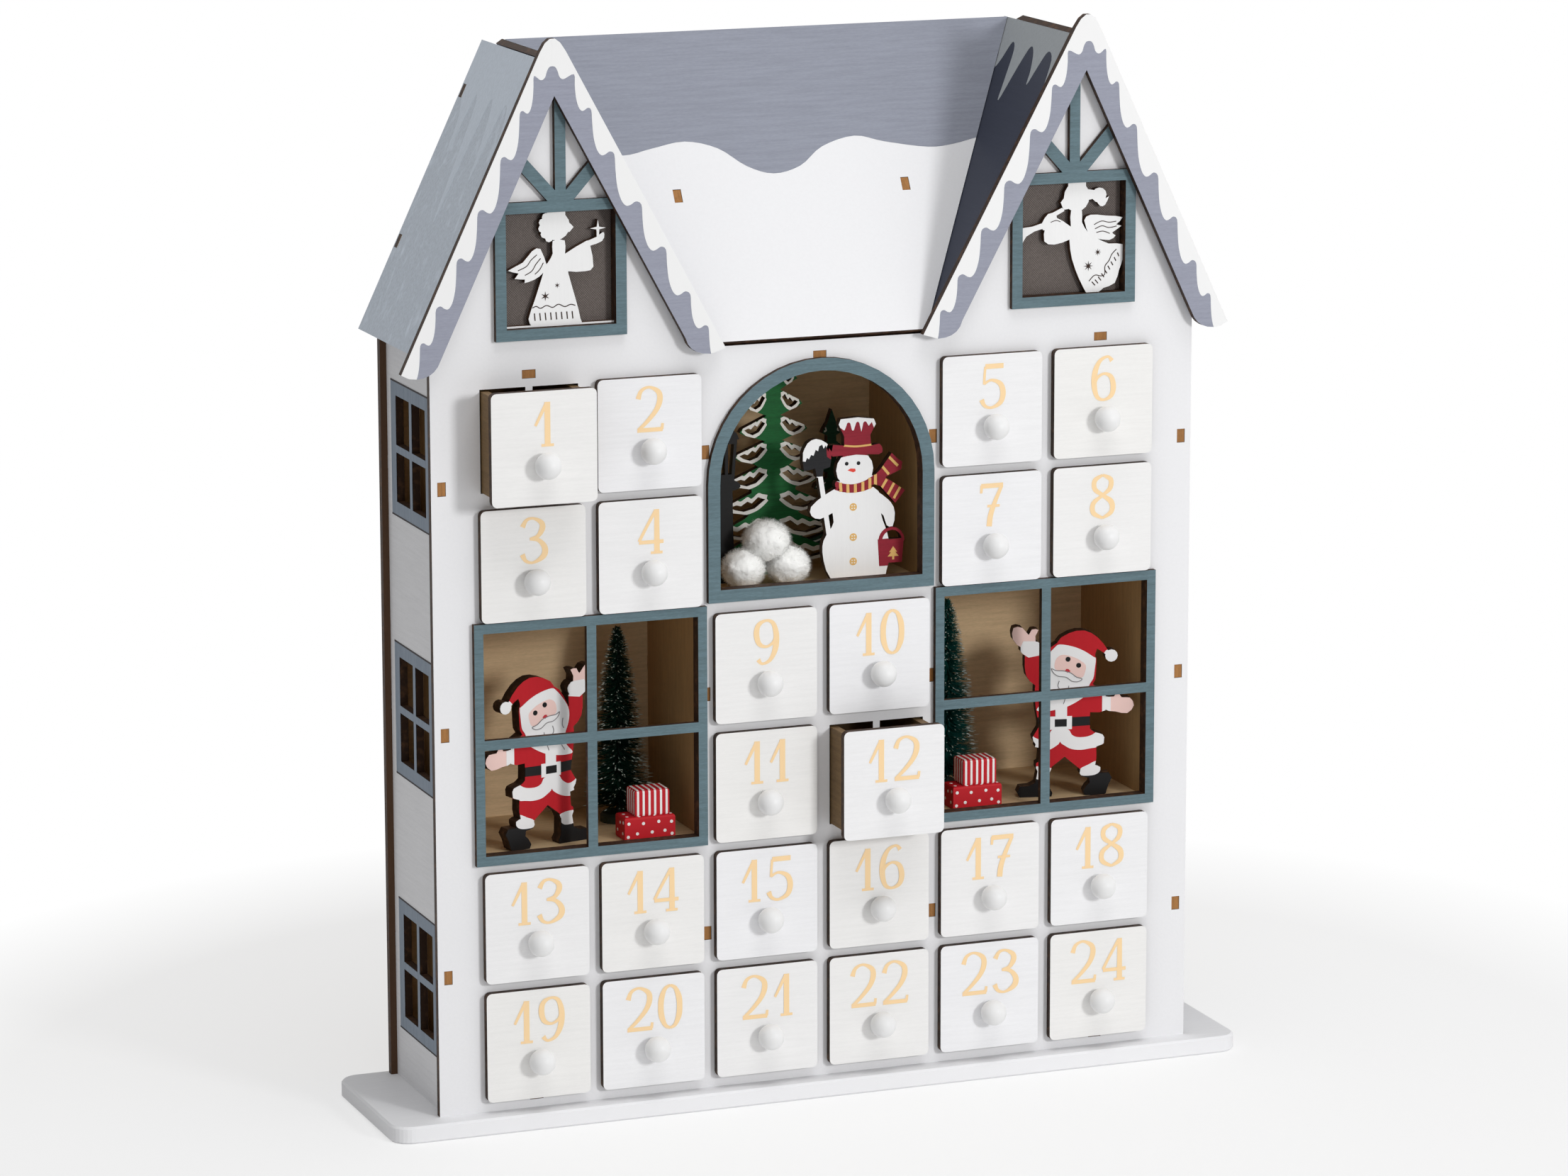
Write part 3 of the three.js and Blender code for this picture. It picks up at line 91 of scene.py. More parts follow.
# Colours are written as the 0 to 255 values that they should render as
def tone(red, green, blue):
    def linear(value):
        share = value / 255
        return share / 12.92 if share <= 0.04045 else ((share + 0.055) / 1.055) ** 2.4
    return (linear(red), linear(green), linear(blue), 1)


WHITE = tone(238, 238, 240)
BURNT = tone(52, 36, 27)
TENON = tone(176, 124, 72)
BIRCH = tone(216, 188, 148)
BIRCH_DARK = tone(178, 143, 98)
SLATE = tone(104, 127, 135)
LAVENDER = tone(156, 159, 174)
WEATHERED = tone(212, 221, 232)
INNER_SLATE = tone(60, 64, 78)
ROOF_SLATE = tone(150, 154, 167)
PEACH = tone(250, 217, 168)
SNOW = tone(240, 240, 240)
RED = tone(186, 22, 34)
BLACK = tone(16, 15, 16)


def feed(tree, socket, value):
    """Gives a socket a value, or a link from another node's socket."""
    if isinstance(value, bpy.types.NodeSocket):
        tree.links.new(value, socket)
    else:
        socket.default_value = value


def add_node(tree, kind, inputs=None, **settings):
    made = tree.nodes.new(kind)
    for key, value in settings.items():
        setattr(made, key, value)
    for key, value in (inputs or {}).items():
        feed(tree, made.inputs[key], value)
    return made


class Shader:
    """A node material, with short calls for the nodes that it is made of."""

    def __init__(self, name, roughness=0.6):
        self.material = bpy.data.materials.new(name)
        self.material.use_nodes = True
        self.tree = self.material.node_tree
        self.bsdf = self.tree.nodes["Principled BSDF"]
        self.bsdf.inputs["Roughness"].default_value = roughness
        self.bsdf.inputs["Specular IOR Level"].default_value = 0.2
        self.place = self.node("ShaderNodeTexCoord").outputs["Object"]

    def node(self, kind, inputs=None, **settings):
        return add_node(self.tree, kind, inputs, **settings)

    def calc(self, operation, first, second=0.0, clamp=False):
        made = self.node("ShaderNodeMath", {0: first, 1: second}, operation=operation, use_clamp=clamp)
        return made.outputs[0]

    def step(self, value, low, high):
        return self.node("ShaderNodeMapRange", {0: value, 1: low, 2: high}).outputs[0]

    def mix(self, share, first, second):
        return self.node("ShaderNodeMix", {0: share, 6: first, 7: second}, data_type="RGBA").outputs[2]

    def noise(self, stretch, scale, detail=4.0, shift=(0, 0, 0)):
        """Noise with features that many metres long each way, divided by scale."""
        moved = self.node("ShaderNodeMapping", {0: self.place, 1: shift, 3: stretch})
        made = self.node("ShaderNodeTexNoise", {0: moved.outputs[0], 2: scale, 3: detail})
        return made.outputs[0]

    def along(self, axis):
        """How far the face's normal lies along X, Y, Z or a direction, from 0 to 1."""
        normal = self.node("ShaderNodeNewGeometry").outputs["True Normal"]
        axis = AXIS.get(axis, axis)
        made = self.node("ShaderNodeVectorMath", {0: normal, 1: axis}, operation="DOT_PRODUCT")
        return self.calc("ABSOLUTE", made.outputs["Value"])

    def height(self, axis):
        """Place along an axis, in metres."""
        made = self.node("ShaderNodeVectorMath", {0: self.place, 1: AXIS[axis]}, operation="DOT_PRODUCT")
        return made.outputs["Value"]

    def past(self, axis, start, end):
        """From 0 at one place along an axis, in millimetres, to 1 at another."""
        return self.step(self.height(axis), start * MM, end * MM)

    def finish(self, colour, bump=None, depth=0.00005):
        feed(self.tree, self.bsdf.inputs["Base Color"], colour)
        if bump is not None:
            made = self.node("ShaderNodeBump", {"Height": bump, "Distance": depth, "Strength": 0.6})
            feed(self.tree, self.bsdf.inputs["Normal"], made.outputs[0])
        return self.material


AXIS = {"x": (1, 0, 0), "y": (0, 1, 0), "z": (0, 0, 1)}
GRAIN_STRETCH = 0.06
FIBRE_STRETCH = 0.2
GRAIN_SHARE = 0.55


def stretched(grain, share):
    """Stretch that makes noise long along X, Y or Z."""
    return [share if way == grain else 1 for way in "xyz"]


def grained(shader, pale, dark, grain, scale=900):
    """Long grain with short fibres over it."""
    noise = shader.noise(stretched(grain, GRAIN_STRETCH), scale)
    fibre = shader.noise(stretched(grain, FIBRE_STRETCH), 3 * scale, 2)
    long = shader.calc("MULTIPLY", shader.step(noise, 0.35, 0.7), GRAIN_SHARE)
    short = shader.calc("MULTIPLY", shader.step(fibre, 0.3, 0.75), 1 - GRAIN_SHARE)
    return shader.mix(shader.calc("ADD", long, short), pale, dark), noise


def edge_colour(shader):
    """Laser-cut edge: dark brown with paler streaks."""
    return shader.mix(shader.step(shader.noise((1, 1, 1), 420), 0.5, 0.8), BURNT, tone(96, 68, 46))


def shade(colour, share):
    return tuple(channel * share for channel in colour[:3]) + (1,)


def board(name, colour, axis, grain="x", edge=None, contrast=0.9):
    """Board that faces along an axis: its faces have one colour and its edges are burnt.

    Another edge is a colour of its own, or "tenon" for boards whose tenons show.
    """
    shader = Shader(name)
    face, noise = grained(shader, colour, shade(colour, contrast), grain)
    side = edge_colour(shader) if edge in (None, "tenon") else edge
    if edge == "tenon":
        behind_facade = shader.past("y", TENON_DEPTH, TENON_DEPTH + 0.2)
        under_roof = shader.past("z", ROOF_TENON_FOOT, ROOF_TENON_FOOT - 1)
        burnt = shader.calc("MULTIPLY", behind_facade, under_roof)
        side = shader.mix(burnt, grained(shader, TENON, shade(TENON, 0.6), "z", 1500)[0], side)
    turned = shader.step(shader.along(axis), 0.75, 0.8)
    return shader.finish(shader.mix(turned, side, face), noise)


def dress(names, material):
    for name in names:
        mesh = NODES[name].data
        mesh.materials.clear()
        mesh.materials.append(material)


def both(word):
    return [f"left_{word}", f"right_{word}"]


def dress_boards():
    dress(["base_board"], board("base_paint", WHITE, "z", edge=WHITE, contrast=0.96))
    dress(["front_panel"], board("facade_paint", WHITE, "y", "none", contrast=0.97))
    dress(["back_panel"], back_ply())
    ply = board("shelf_ply", BIRCH, "z", edge="tenon", contrast=0.75)
    dress(["bottom_shelf", "lower_shelf", "centre_shelf", "top_shelf"], ply)
    upright = board("wall_ply", BIRCH_DARK, "x", "z", "tenon", contrast=0.75)
    dress(both("inner_wall") + both("divider"), upright)
    dress(both("wall"), board("side_paint", WHITE, "x", "y", "tenon", contrast=0.9))
    dress(["arch_frame"] + both("window_frame") + both("gable_frame"),
          board("frame_paint", SLATE, "y", "x", contrast=0.62))
    dress(["main_roof"], board("roof_paint", WHITE, ROOF_OUT, "none", contrast=0.97))
    for side, word in SIDES:
        outer = tuple(Vector((side, 0, OUTER_RUN)).normalized())
        inner = tuple(Vector((-side, 0, INNER_RUN)).normalized())
        dress([f"{word}_gable_outer_slope"], weathered(f"{word}_outer_print", outer))
        dress([f"{word}_gable_inner_slope"], board(f"{word}_inner_print", INNER_SLATE, inner, "y"))
    dress(both("bargeboard"), board("barge_print", LAVENDER, "y", "x", contrast=0.82))


def back_ply():
    """Plywood, darkened with painted shade along the two edges that show beside the walls."""
    shader = Shader("back_ply", 0.6)
    ply, noise = grained(shader, BIRCH, shade(BIRCH, 0.75), "x")
    outside = shader.calc("ABSOLUTE", shader.height("x"))
    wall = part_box("right_wall")[1].x
    # Painted shade: past the walls' outer faces, the ply takes the dark brown of the shaded strips beside the
    # walls.
    ply = shader.mix(shader.step(outside, wall - 0.3 * MM, wall), ply, tone(84, 60, 42))
    turned = shader.step(shader.along("y"), 0.75, 0.8)
    return shader.finish(shader.mix(turned, edge_colour(shader), ply), noise)


def weathered(name, axis):
    """Blue-grey roof print with pale streaks that run down the slope."""
    shader = Shader(name, 0.7)
    streak = shader.noise((1, 1, 0.25), 260, 5)
    fine = shader.noise((1, 1, 0.4), 1500, 3)
    base = shader.mix(shader.step(fine, 0.35, 0.75), WEATHERED, shade(WEATHERED, 0.82))
    pale = shader.mix(shader.step(streak, 0.55, 0.75), base, shade(WEATHERED, 1.14))
    turned = shader.step(shader.along(axis), 0.75, 0.8)
    return shader.finish(shader.mix(turned, edge_colour(shader), pale), fine)


def dress_shelves():
    """The arch shelf carries the lamp post, and the window shelf the gifts."""
    for node, colour, name in (("arch_shelf", BLACK, "lamp_paint"), ("window_shelf", RED, "gift_paint")):
        shader = Shader(name, 0.55)
        ply, noise = grained(shader, BIRCH, shade(BIRCH, 0.75), "x")
        turned = shader.step(shader.along("z"), 0.75, 0.8)
        wood = shader.mix(turned, TENON, ply)
        above = shader.past("z", shelf_top(node), shelf_top(node) + 0.02)
        dress([node], shader.finish(shader.mix(above, wood, colour), noise))


def shelf_top(node):
    """Height of a shelf's upper face: its node's lowest corner and the board's thickness."""
    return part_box(node)[0].z / MM + BOARD


def dress_drawers():
    """Painted fronts, each aged a little differently, on boxes of dark wood with painted shade."""
    for number in range(1, 25):
        name = f"drawer_{number:02d}"
        back = -FRONT_GAP - OPEN_DRAWERS.get(number, 0)
        shader = Shader(f"{name}_paint", 0.55)
        aged = 0.5 + 0.5 * math.sin(number * 2.4)
        tint = tone(242 - aged, 242 - 2 * aged, 244 - 6 * aged)
        face, noise = grained(shader, tint, shade(tint, 0.94), "x")
        turned = shader.step(shader.along("y"), 0.5, 0.6)
        head = shader.mix(turned, edge_colour(shader), face)
        # Painted shade: the box wood is dark plywood, darkened further to the shaded colour of the box sides.
        wood, _ = grained(shader, shade(BIRCH_DARK, 0.5), shade(BIRCH_DARK, 0.32), "y")
        behind = shader.past("y", back - 0.02, back)
        dress([name], shader.finish(shader.mix(behind, head, wood), noise))


# Pieces of the scene
def plain(name, colour, roughness=0.5):
    return Shader(name, roughness).finish(colour)


def piece(name, mesh, material, body):
    """An object that rides on a body, with its material."""
    made = bpy.data.objects.new(name, mesh)
    bpy.context.scene.collection.objects.link(made)
    mesh.materials.append(material)
    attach(made, body)
    return made


def spline(points, steps=5, closed=False):
    """Smooth line through the points, each a tuple of any length."""
    count = len(points)
    pick = (lambda i: points[i % count]) if closed else (lambda i: points[min(max(i, 0), count - 1)])
    made = []
    for i in range(count if closed else count - 1):
        p0, p1, p2, p3 = (pick(i + k) for k in (-1, 0, 1, 2))
        for step in range(steps):
            t = step / steps
            made.append(tuple(
                0.5 * (2 * b + (c - a) * t + (2 * a - 5 * b + 4 * c - d) * t * t
                       + (3 * b - a - 3 * c + d) * t ** 3)
                for a, b, c, d in zip(p0, p1, p2, p3)))
    if not closed:
        made.append(points[-1])
    return made


def stroke_sides(points, steps):
    """Both sides of a stroke through (x, z, width) points."""
    line = spline(points, steps)
    left, right = [], []
    for i, (x, z, width) in enumerate(line):
        before, after = line[max(i - 1, 0)], line[min(i + 1, len(line) - 1)]
        run = Vector((after[0] - before[0], after[1] - before[1]))
        across = Vector((-run.y, run.x)).normalized() * width / 2
        left.append((x + across.x, z + across.y))
        right.append((x - across.x, z - across.y))
    return left, right


def ribbon(points, steps=5):
    """Outline of a stroke."""
    left, right = stroke_sides(points, steps)
    return left + right[::-1]


def strip(points, steps=5):
    """The four-sided pieces that a stroke is made of."""
    left, right = stroke_sides(points, steps)
    return [[left[i], left[i + 1], right[i + 1], right[i]] for i in range(len(left) - 1)]


def even(points, width):
    """The same points with one stroke width."""
    return [(x, z, width) for x, z in points]


def circle(x, z, radius, steps=24):
    turns = (2 * math.pi * i / steps for i in range(steps))
    return [(x + radius * math.cos(a), z + radius * math.sin(a)) for a in turns]


def box_loop(x0, x1, z0, z1):
    return [(x0, z0), (x1, z0), (x1, z1), (x0, z1)]


# Planes take (u, v, w) millimetres: w is the distance in front of the face
def front_plane(y, x=0, z=0):
    return Matrix(((1, 0, 0, x), (0, 0, -1, y), (0, 1, 0, z), (0, 0, 0, 1)))


def side_plane(x, side):
    return Matrix(((0, 0, side, x), (1, 0, 0, 0), (0, 1, 0, 0), (0, 0, 0, 1)))


def top_plane(z):
    return Matrix(((1, 0, 0, 0), (0, 1, 0, 0), (0, 0, 1, z), (0, 0, 0, 1)))


def flat_mesh(name, loops, lifts, plane):
    """Flat faces for the loops, just in front of the plane, each with its own lift."""
    mesh = bpy.data.meshes.new(name)
    points, faces = [], []
    for loop, lift in zip(loops, lifts):
        faces.append(list(range(len(points), len(points) + len(loop))))
        points.extend(plane @ Vector((u, v, PRINT_LIFT + lift)) * MM for u, v in loop)
    mesh.from_pydata(points, [], faces)
    return mesh


def slab(name, loop, plane, low, high):
    """A closed slice between two distances in front of the plane."""
    form = bmesh.new()
    rings = []
    for w in (low, high):
        rings.append([form.verts.new(plane @ Vector((u, v, w)) * MM) for u, v in loop])
    form.faces.new(rings[0])
    form.faces.new(rings[1])
    for i in range(len(loop)):
        k = (i + 1) % len(loop)
        form.faces.new((rings[0][i], rings[0][k], rings[1][k], rings[1][i]))
    bmesh.ops.recalc_face_normals(form, faces=form.faces)
    mesh = bpy.data.meshes.new(name)
    form.to_mesh(mesh)
    form.free()
    return mesh


def print_on(node, name, loops, plane, material, level=1):
    """Printed colour on a CAD board: each loop is cut to the board's outline and lifted off its face."""
    outwards = plane.to_3x3() @ Vector((0, 0, 1))
    merged = bmesh.new()
    for number, loop in enumerate(loops):
        cut = cut_to_board(slab(name, loop, plane, -PRINT_DEPTH, PRINT_DEPTH), node)
        lift = PRINT_LIFT * (level + 0.8 * number / len(loops)) * MM
        cut.transform(Matrix.Translation(outwards * lift))
        merged.from_mesh(cut)
    mesh = bpy.data.meshes.new(name)
    merged.to_mesh(mesh)
    merged.free()
    if mesh.polygons:
        piece(name, mesh, material, NODES[node]["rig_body"])


def cut_to_board(mesh, node):
    """What a slice and a CAD board have in common."""
    holder = bpy.data.objects.new("cutter", mesh)
    bpy.context.scene.collection.objects.link(holder)
    modifier = holder.modifiers.new("cut", "BOOLEAN")
    modifier.operation = "INTERSECT"
    modifier.solver = "EXACT"
    modifier.object = NODES[node]
    graph = bpy.context.evaluated_depsgraph_get()
    made = bpy.data.meshes.new_from_object(holder.evaluated_get(graph))
    bpy.data.objects.remove(holder)
    return made


# Digits as pen strokes of (x, height, width): x and height are shares of the digit's box
THIN, BOLD = 1.0, 2.2
DIGITS = {
    "1": (7.4, [
        [(0.66, 0.97, BOLD), (0.66, 0.03, BOLD)],
        [(0.34, 0.03, THIN), (0.98, 0.03, THIN)],
        [(0.62, 0.95, 1.3), (0.3, 0.68, 1.2), (0.04, 0.46, THIN)],
    ]),
    "2": (10.2, [
        [(0.06, 0.74, 2.0), (0.18, 0.92, 1.4), (0.48, 0.99, THIN), (0.82, 0.88, 1.9), (0.88, 0.7, BOLD),
         (0.74, 0.48, 1.9), (0.4, 0.24, 1.5), (0.08, 0.07, 1.2)],
        [(0.02, 0.05, 1.6), (0.98, 0.05, 1.6)],
        [(0.95, 0.05, 1.2), (0.98, 0.18, THIN)],
    ]),
    "3": (9.9, [
        [(0.08, 0.8, 2.0), (0.24, 0.95, 1.3), (0.5, 0.98, THIN), (0.8, 0.88, 1.9), (0.84, 0.74, BOLD),
         (0.66, 0.58, 1.5), (0.36, 0.53, THIN)],
        [(0.36, 0.53, THIN), (0.7, 0.49, 1.5), (0.93, 0.32, BOLD), (0.88, 0.14, BOLD),
         (0.5, 0.01, THIN), (0.2, 0.05, 1.3), (0.06, 0.2, 2.0)],
    ]),
    "4": (9.9, [
        [(0.74, 0.98, 1.9), (0.74, 0.02, BOLD)],
        [(0.7, 0.96, 1.3), (0.34, 0.6, 1.2), (0.04, 0.28, 1.2)],
        [(0.04, 0.26, 1.4), (1, 0.26, 1.4)],
        [(0.5, 0.02, THIN), (0.96, 0.02, THIN)],
    ]),
    "5": (9.9, [
        [(0.2, 0.94, 1.9), (0.94, 0.94, 1.9)],
        [(0.2, 0.94, THIN), (0.17, 0.74, THIN), (0.15, 0.54, THIN)],
        [(0.15, 0.55, THIN), (0.44, 0.63, THIN), (0.8, 0.54, 1.9), (0.92, 0.34, BOLD),
         (0.82, 0.12, 1.9), (0.46, 0.01, THIN), (0.18, 0.06, 1.3), (0.05, 0.2, 2.0)],
    ]),
    "6": (9.2, [
        [(0.86, 0.88, 1.8), (0.68, 0.98, THIN), (0.34, 0.9, 1.5), (0.12, 0.66, BOLD),
         (0.08, 0.34, BOLD), (0.22, 0.08, 1.6), (0.52, 0.01, THIN), (0.84, 0.1, 1.8), (0.93, 0.3, BOLD),
         (0.82, 0.52, 1.8), (0.52, 0.6, THIN), (0.22, 0.52, 1.2), (0.1, 0.38, 1.2)],
    ]),
    "7": (9.6, [
        [(0.04, 0.94, 1.8), (0.96, 0.94, 1.8)],
        [(0.06, 0.96, 1.2), (0.04, 0.78, THIN)],
        [(0.9, 0.92, 1.3), (0.64, 0.6, 1.7), (0.44, 0.28, 2.1), (0.38, 0.02, BOLD)],
        [(0.3, 0.48, THIN), (0.82, 0.48, THIN)],
    ]),
    "8": (9.4, [
        [(0.5, 0.99, THIN), (0.16, 0.88, 1.9), (0.16, 0.68, 1.9), (0.5, 0.53, 1.5), (0.88, 0.36, BOLD),
         (0.88, 0.14, 1.9), (0.5, 0.01, THIN)],
        [(0.5, 0.99, THIN), (0.84, 0.88, 1.9), (0.82, 0.68, 1.9), (0.5, 0.53, 1.2), (0.1, 0.36, 1.9),
         (0.1, 0.14, 1.9), (0.5, 0.01, THIN)],
    ]),
}
BOWL = [(0.5, 0.99, THIN), (0.27, 0.92, 1.5), (0.11, 0.72, BOLD), (0.07, 0.5, BOLD),
        (0.11, 0.28, BOLD), (0.27, 0.08, 1.5), (0.5, 0.01, THIN)]
DIGITS["0"] = (8.6, [BOWL, [(1 - x, z, w) for x, z, w in BOWL]])
DIGITS["9"] = (9.2, [[(1 - x, 1 - z, w) for x, z, w in stroke] for stroke in DIGITS["6"][1]])


def digit_strokes(text, x, foot):
    """Each stroke of the digits as a list of four-sided pieces, centred on x."""
    widths = [DIGITS[digit][0] for digit in text]
    start = x - (sum(widths) + DIGIT_GAP * (len(text) - 1)) / 2
    loops = []
    for digit, width in zip(text, widths):
        for stroke in DIGITS[digit][1]:
            line = [(start + u * width, foot + v * DIGIT_HEIGHT, w) for u, v, w in stroke]
            loops.append(strip(line))
        start += width + DIGIT_GAP
    return loops


def number_drawers():
    """Digits a little way off each front, where no two strokes share a plane, and the knobs."""
    paint = plain("digit_paint", PEACH, 0.5)
    glossy = plain("knob_paint", tone(236, 236, 236), 0.34)
    for number in range(1, 25):
        body = f"drawer_{number:02d}"
        low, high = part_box(body)
        x = (low.x + high.x) / 2 / MM
        z = (low.z + high.z) / 2 / MM
        plane = front_plane(-FRONT_GAP - BOARD - OPEN_DRAWERS.get(number, 0))
        strokes = digit_strokes(str(number), x, z + DIGIT_FOOT)
        quads = [quad for stroke in strokes for quad in stroke]
        lifts = [0.015 * i + 0.0015 * k for i, stroke in enumerate(strokes) for k in range(len(stroke))]
        mesh = flat_mesh(f"{body}_digits", quads, lifts, plane)
        piece(f"{body}_digits", mesh, paint, body)
        knob(body, Vector((x, low.y / MM + KNOB_RADIUS + KNOB_SKIN, z - KNOB_DROP)), glossy)


def knob(body, centre, material):
    """Smooth ball that covers the faceted one of the drawer."""
    form = bmesh.new()
    bmesh.ops.create_uvsphere(form, u_segments=40, v_segments=24, radius=(KNOB_RADIUS + KNOB_SKIN) * MM)
    bmesh.ops.translate(form, vec=centre * MM, verts=form.verts)
    mesh = bpy.data.meshes.new(f"{body}_knob")
    form.to_mesh(mesh)
    mesh.shade_smooth()
    piece(f"{body}_knob", mesh, material, body)


# Roof and bargeboard prints: each leg's run per rise, and the height of its foot
OUTER_RUN, INNER_RUN = 0.472, 0.545
OUTER_FOOT_Z, INNER_FOOT_Z = 284.1, 286.5
BARGE_FRONT = -5.5
TOOTH_HEIGHTS = [388.8, 375.6, 359.3, 340.6, 323.8, 307, 294.4, 280.5]
TOOTH_INSETS = [1.6, 2.4, 2.7, 2.7, 2.6, 2.5, 2.4, 2.4]
# One lobe of the snow, as shares of the way to the next one; then the snow beside the peak
TOOTH = [(0, 0), (0.04, 0.3), (0.1, 0.62), (0.24, 0.88), (0.42, 1.0), (0.6, 0.99), (0.8, 0.93)]
PEAK = [(0, 392), (1.1, 391.7), (2, 390.2), (2.6, 388.3), (3.6, 387.3), (4.8, 387.4)]


def gable_apex(side, word):
    """Where the outer edges of a bargeboard's legs meet, from its own box."""
    low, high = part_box(f"{word}_bargeboard")
    width = (high.x - low.x) / MM
    outer = low.x if side < 0 else high.x
    height = (width + OUTER_RUN * OUTER_FOOT_Z + INNER_RUN * INNER_FOOT_Z) / (OUTER_RUN + INNER_RUN)
    return outer / MM - side * OUTER_RUN * (height - OUTER_FOOT_Z), height


def teeth(apex, run, direction):
    """Lower line of the snow down one leg."""
    points = []
    for i in range(len(TOOTH_HEIGHTS) - 1):
        z0, z1 = TOOTH_HEIGHTS[i], TOOTH_HEIGHTS[i + 1]
        x0 = run * (apex[1] - z0) - TOOTH_INSETS[i]
        x1 = run * (apex[1] - z1) - TOOTH_INSETS[i + 1]
        points.extend((apex[0] + direction * (x0 + (x1 - x0) * u), z0 + (z1 - z0) * v) for u, v in TOOTH)
    return points


def snow_on_bargeboards():
    paint = plain("snow_print", SNOW, 0.6)
    for side, word in SIDES:
        apex = gable_apex(side, word)
        legs = [(OUTER_RUN, side), (INNER_RUN, -side)]
        halves = []
        for run, direction in legs:
            line = [(apex[0] + direction * u, v) for u, v in PEAK]
            line = spline(line + teeth(apex, run, direction), 3)
            edge = [(apex[0] + direction * (run * (apex[1] - 270) + 4), 270), (apex[0], apex[1] + 4)]
            halves.append(line + edge)
        node = f"{word}_bargeboard"
        print_on(node, f"{word}_barge_snow", halves, front_plane(BARGE_FRONT), paint, 1)


# Depth and height of the main roof's foot, and the edge of its snow
ROOF_FOOT = Vector((-1.5, 288))
ROOF_WAVE = [(-90, 354.6), (-64.4, 352.8), (-52, 354.6), (-38.4, 356.5), (-26, 353.6), (-16, 347),
             (-6, 344), (5, 346.2), (15, 352.4), (28.5, 355.5), (40, 353), (57.1, 350.3), (68, 351),
             (77.9, 352.8), (95, 355)]


def roof_plane():
    """X and height on the upper face of the main roof."""
    run = 1 / math.tan(ROOF_ANGLE)
    start = ROOF_FOOT.x - ROOF_FOOT.y * run
    return Matrix(((1, 0, 0, 0), (0, run, ROOF_OUT[1], start), (0, 1, ROOF_OUT[2], 0), (0, 0, 0, 1)))


def slate_on_main_roof():
    slate = board("main_roof_print", ROOF_SLATE, ROOF_OUT, "x", ROOF_SLATE, contrast=0.8)
    loop = spline(ROOF_WAVE, 4) + [(120, 410), (-120, 410)]
    print_on("main_roof", "main_roof_slate", [loop], roof_plane(), slate, 1)


# Snow at the top of the slopes: depth, and drop below its top
ICICLES = [(-9, 16), (-5, 23), (-2, 26), (1, 22), (6, 11), (12, 8.5), (14.5, 14), (16.5, 21), (19, 16),
           (24, 10), (28.5, 8.5), (31, 16), (33.5, 28.5), (36.5, 22), (41, 11), (45.6, 8.5), (48, 15),
           (50.5, 18), (54, 12), (68, 6)]
ICICLE_TOP = 395
SLOPE_INSET = 2.2


def slope_plane(word, side, outer):
    """Depth and height on the outer face of a gable's roof slope."""
    run = -OUTER_RUN if outer else INNER_RUN
    facing = side if outer else -side
    out = Vector((facing, abs(run))).normalized()
    apex = gable_apex(side, word)
    start = apex[0] - facing * SLOPE_INSET * math.hypot(1, run) - side * run * apex[1]
    return Matrix(((0, side * run, out.x, start), (1, 0, 0, 0), (0, 1, out.y, 0), (0, 0, 0, 1)))


def icicles_on_slopes():
    pale = {}
    for outer, name, colour in ((True, "outer_snow_print", shade(WEATHERED, 1.13)),
                                (False, "inner_snow_print", tone(176, 181, 184))):
        shader = Shader(name, 0.7)
        face, noise = grained(shader, colour, shade(colour, 0.86), "z", 1200)
        pale[outer] = shader.finish(face, noise)
    for side, word in SIDES:
        for outer, kind in ((True, "outer"), (False, "inner")):
            node = f"{word}_gable_{kind}_slope"
            reach = 2.2 if outer else 1
            tips = [(y, ICICLE_TOP - drop * reach) for y, drop in ICICLES]
            loop = spline(tips, 4) + [(70, 420), (-10, 420)]
            plane = slope_plane(word, side, outer)
            print_on(node, f"{word}_{kind}_snow", [loop], plane, pale[outer], 1)


# Printed surrounds of the side windows: heights of their feet, and their depths
SIDE_WINDOWS = [26.5, 124.5, 222.5]
SURROUND = (8.5, 54.5)
SURROUND_HEIGHT = 50


def surrounds_on_walls():
    shader = Shader("surround_print", 0.65)
    face, noise = grained(shader, tone(150, 161, 174), tone(126, 138, 152), "z")
    paint = shader.finish(face, noise)
    line = plain("surround_line", tone(58, 54, 56), 0.7)
    for side, word in SIDES:
        node = f"{word}_wall"
        low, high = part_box(node)
        plane = side_plane((high.x if side > 0 else low.x) / MM, side)
        loops = [box_loop(*SURROUND, z, z + SURROUND_HEIGHT) for z in SIDE_WINDOWS]
        print_on(node, f"{word}_surrounds", loops, plane, paint)
        lines = []
        for z in SIDE_WINDOWS:
            for edge in (z, z + SURROUND_HEIGHT):
                lines.append(box_loop(*SURROUND, edge - 0.3, edge + 0.3))
        print_on(node, f"{word}_surround_lines", lines, plane, line, 2)


# Santa plates: (s, z) from the middle of the foot, with the raised arm on the positive side
SANTA_PLACE = Vector((105, 9.6))
SANTA_YAW = math.radians(13.2)
HAIR = [(3.5, 59.1), (5.3, 58.2), (8.2, 55), (10.6, 51.1), (11, 47.8), (10.4, 44.7), (9.4, 42.1), (9.1, 39.8),
        (9.8, 37), (12.4, 34), (9.3, 33.4), (5.1, 33.8), (0.8, 34.8), (-4, 37.2), (-6.6, 39.4), (-8, 43.3),
        (-9.4, 45.6), (-9.9, 49), (-10.3, 53.1), (-9.4, 53.9), (-5.6, 56.4), (-1.3, 58.2)]
FACE = [(-6.4, 50.8), (-4, 52.9), (-1.3, 54.2), (2.4, 55.1), (4.8, 53.8), (5.6, 51.1), (5, 49.4), (1.9, 48),
        (-1.3, 46.6), (-5, 46), (-6.2, 48.2)]
MOUSTACHE = [(-5.1, 45.5), (-3.6, 44.5), (-1.3, 44.7), (0.5, 46), (1.6, 46.5), (4, 46.8), (5.9, 48.1),
             (6.8, 49.9), (5.1, 49.1), (2.4, 48.9), (0.8, 48.5), (-0.8, 47.9), (-2.9, 46.3)]
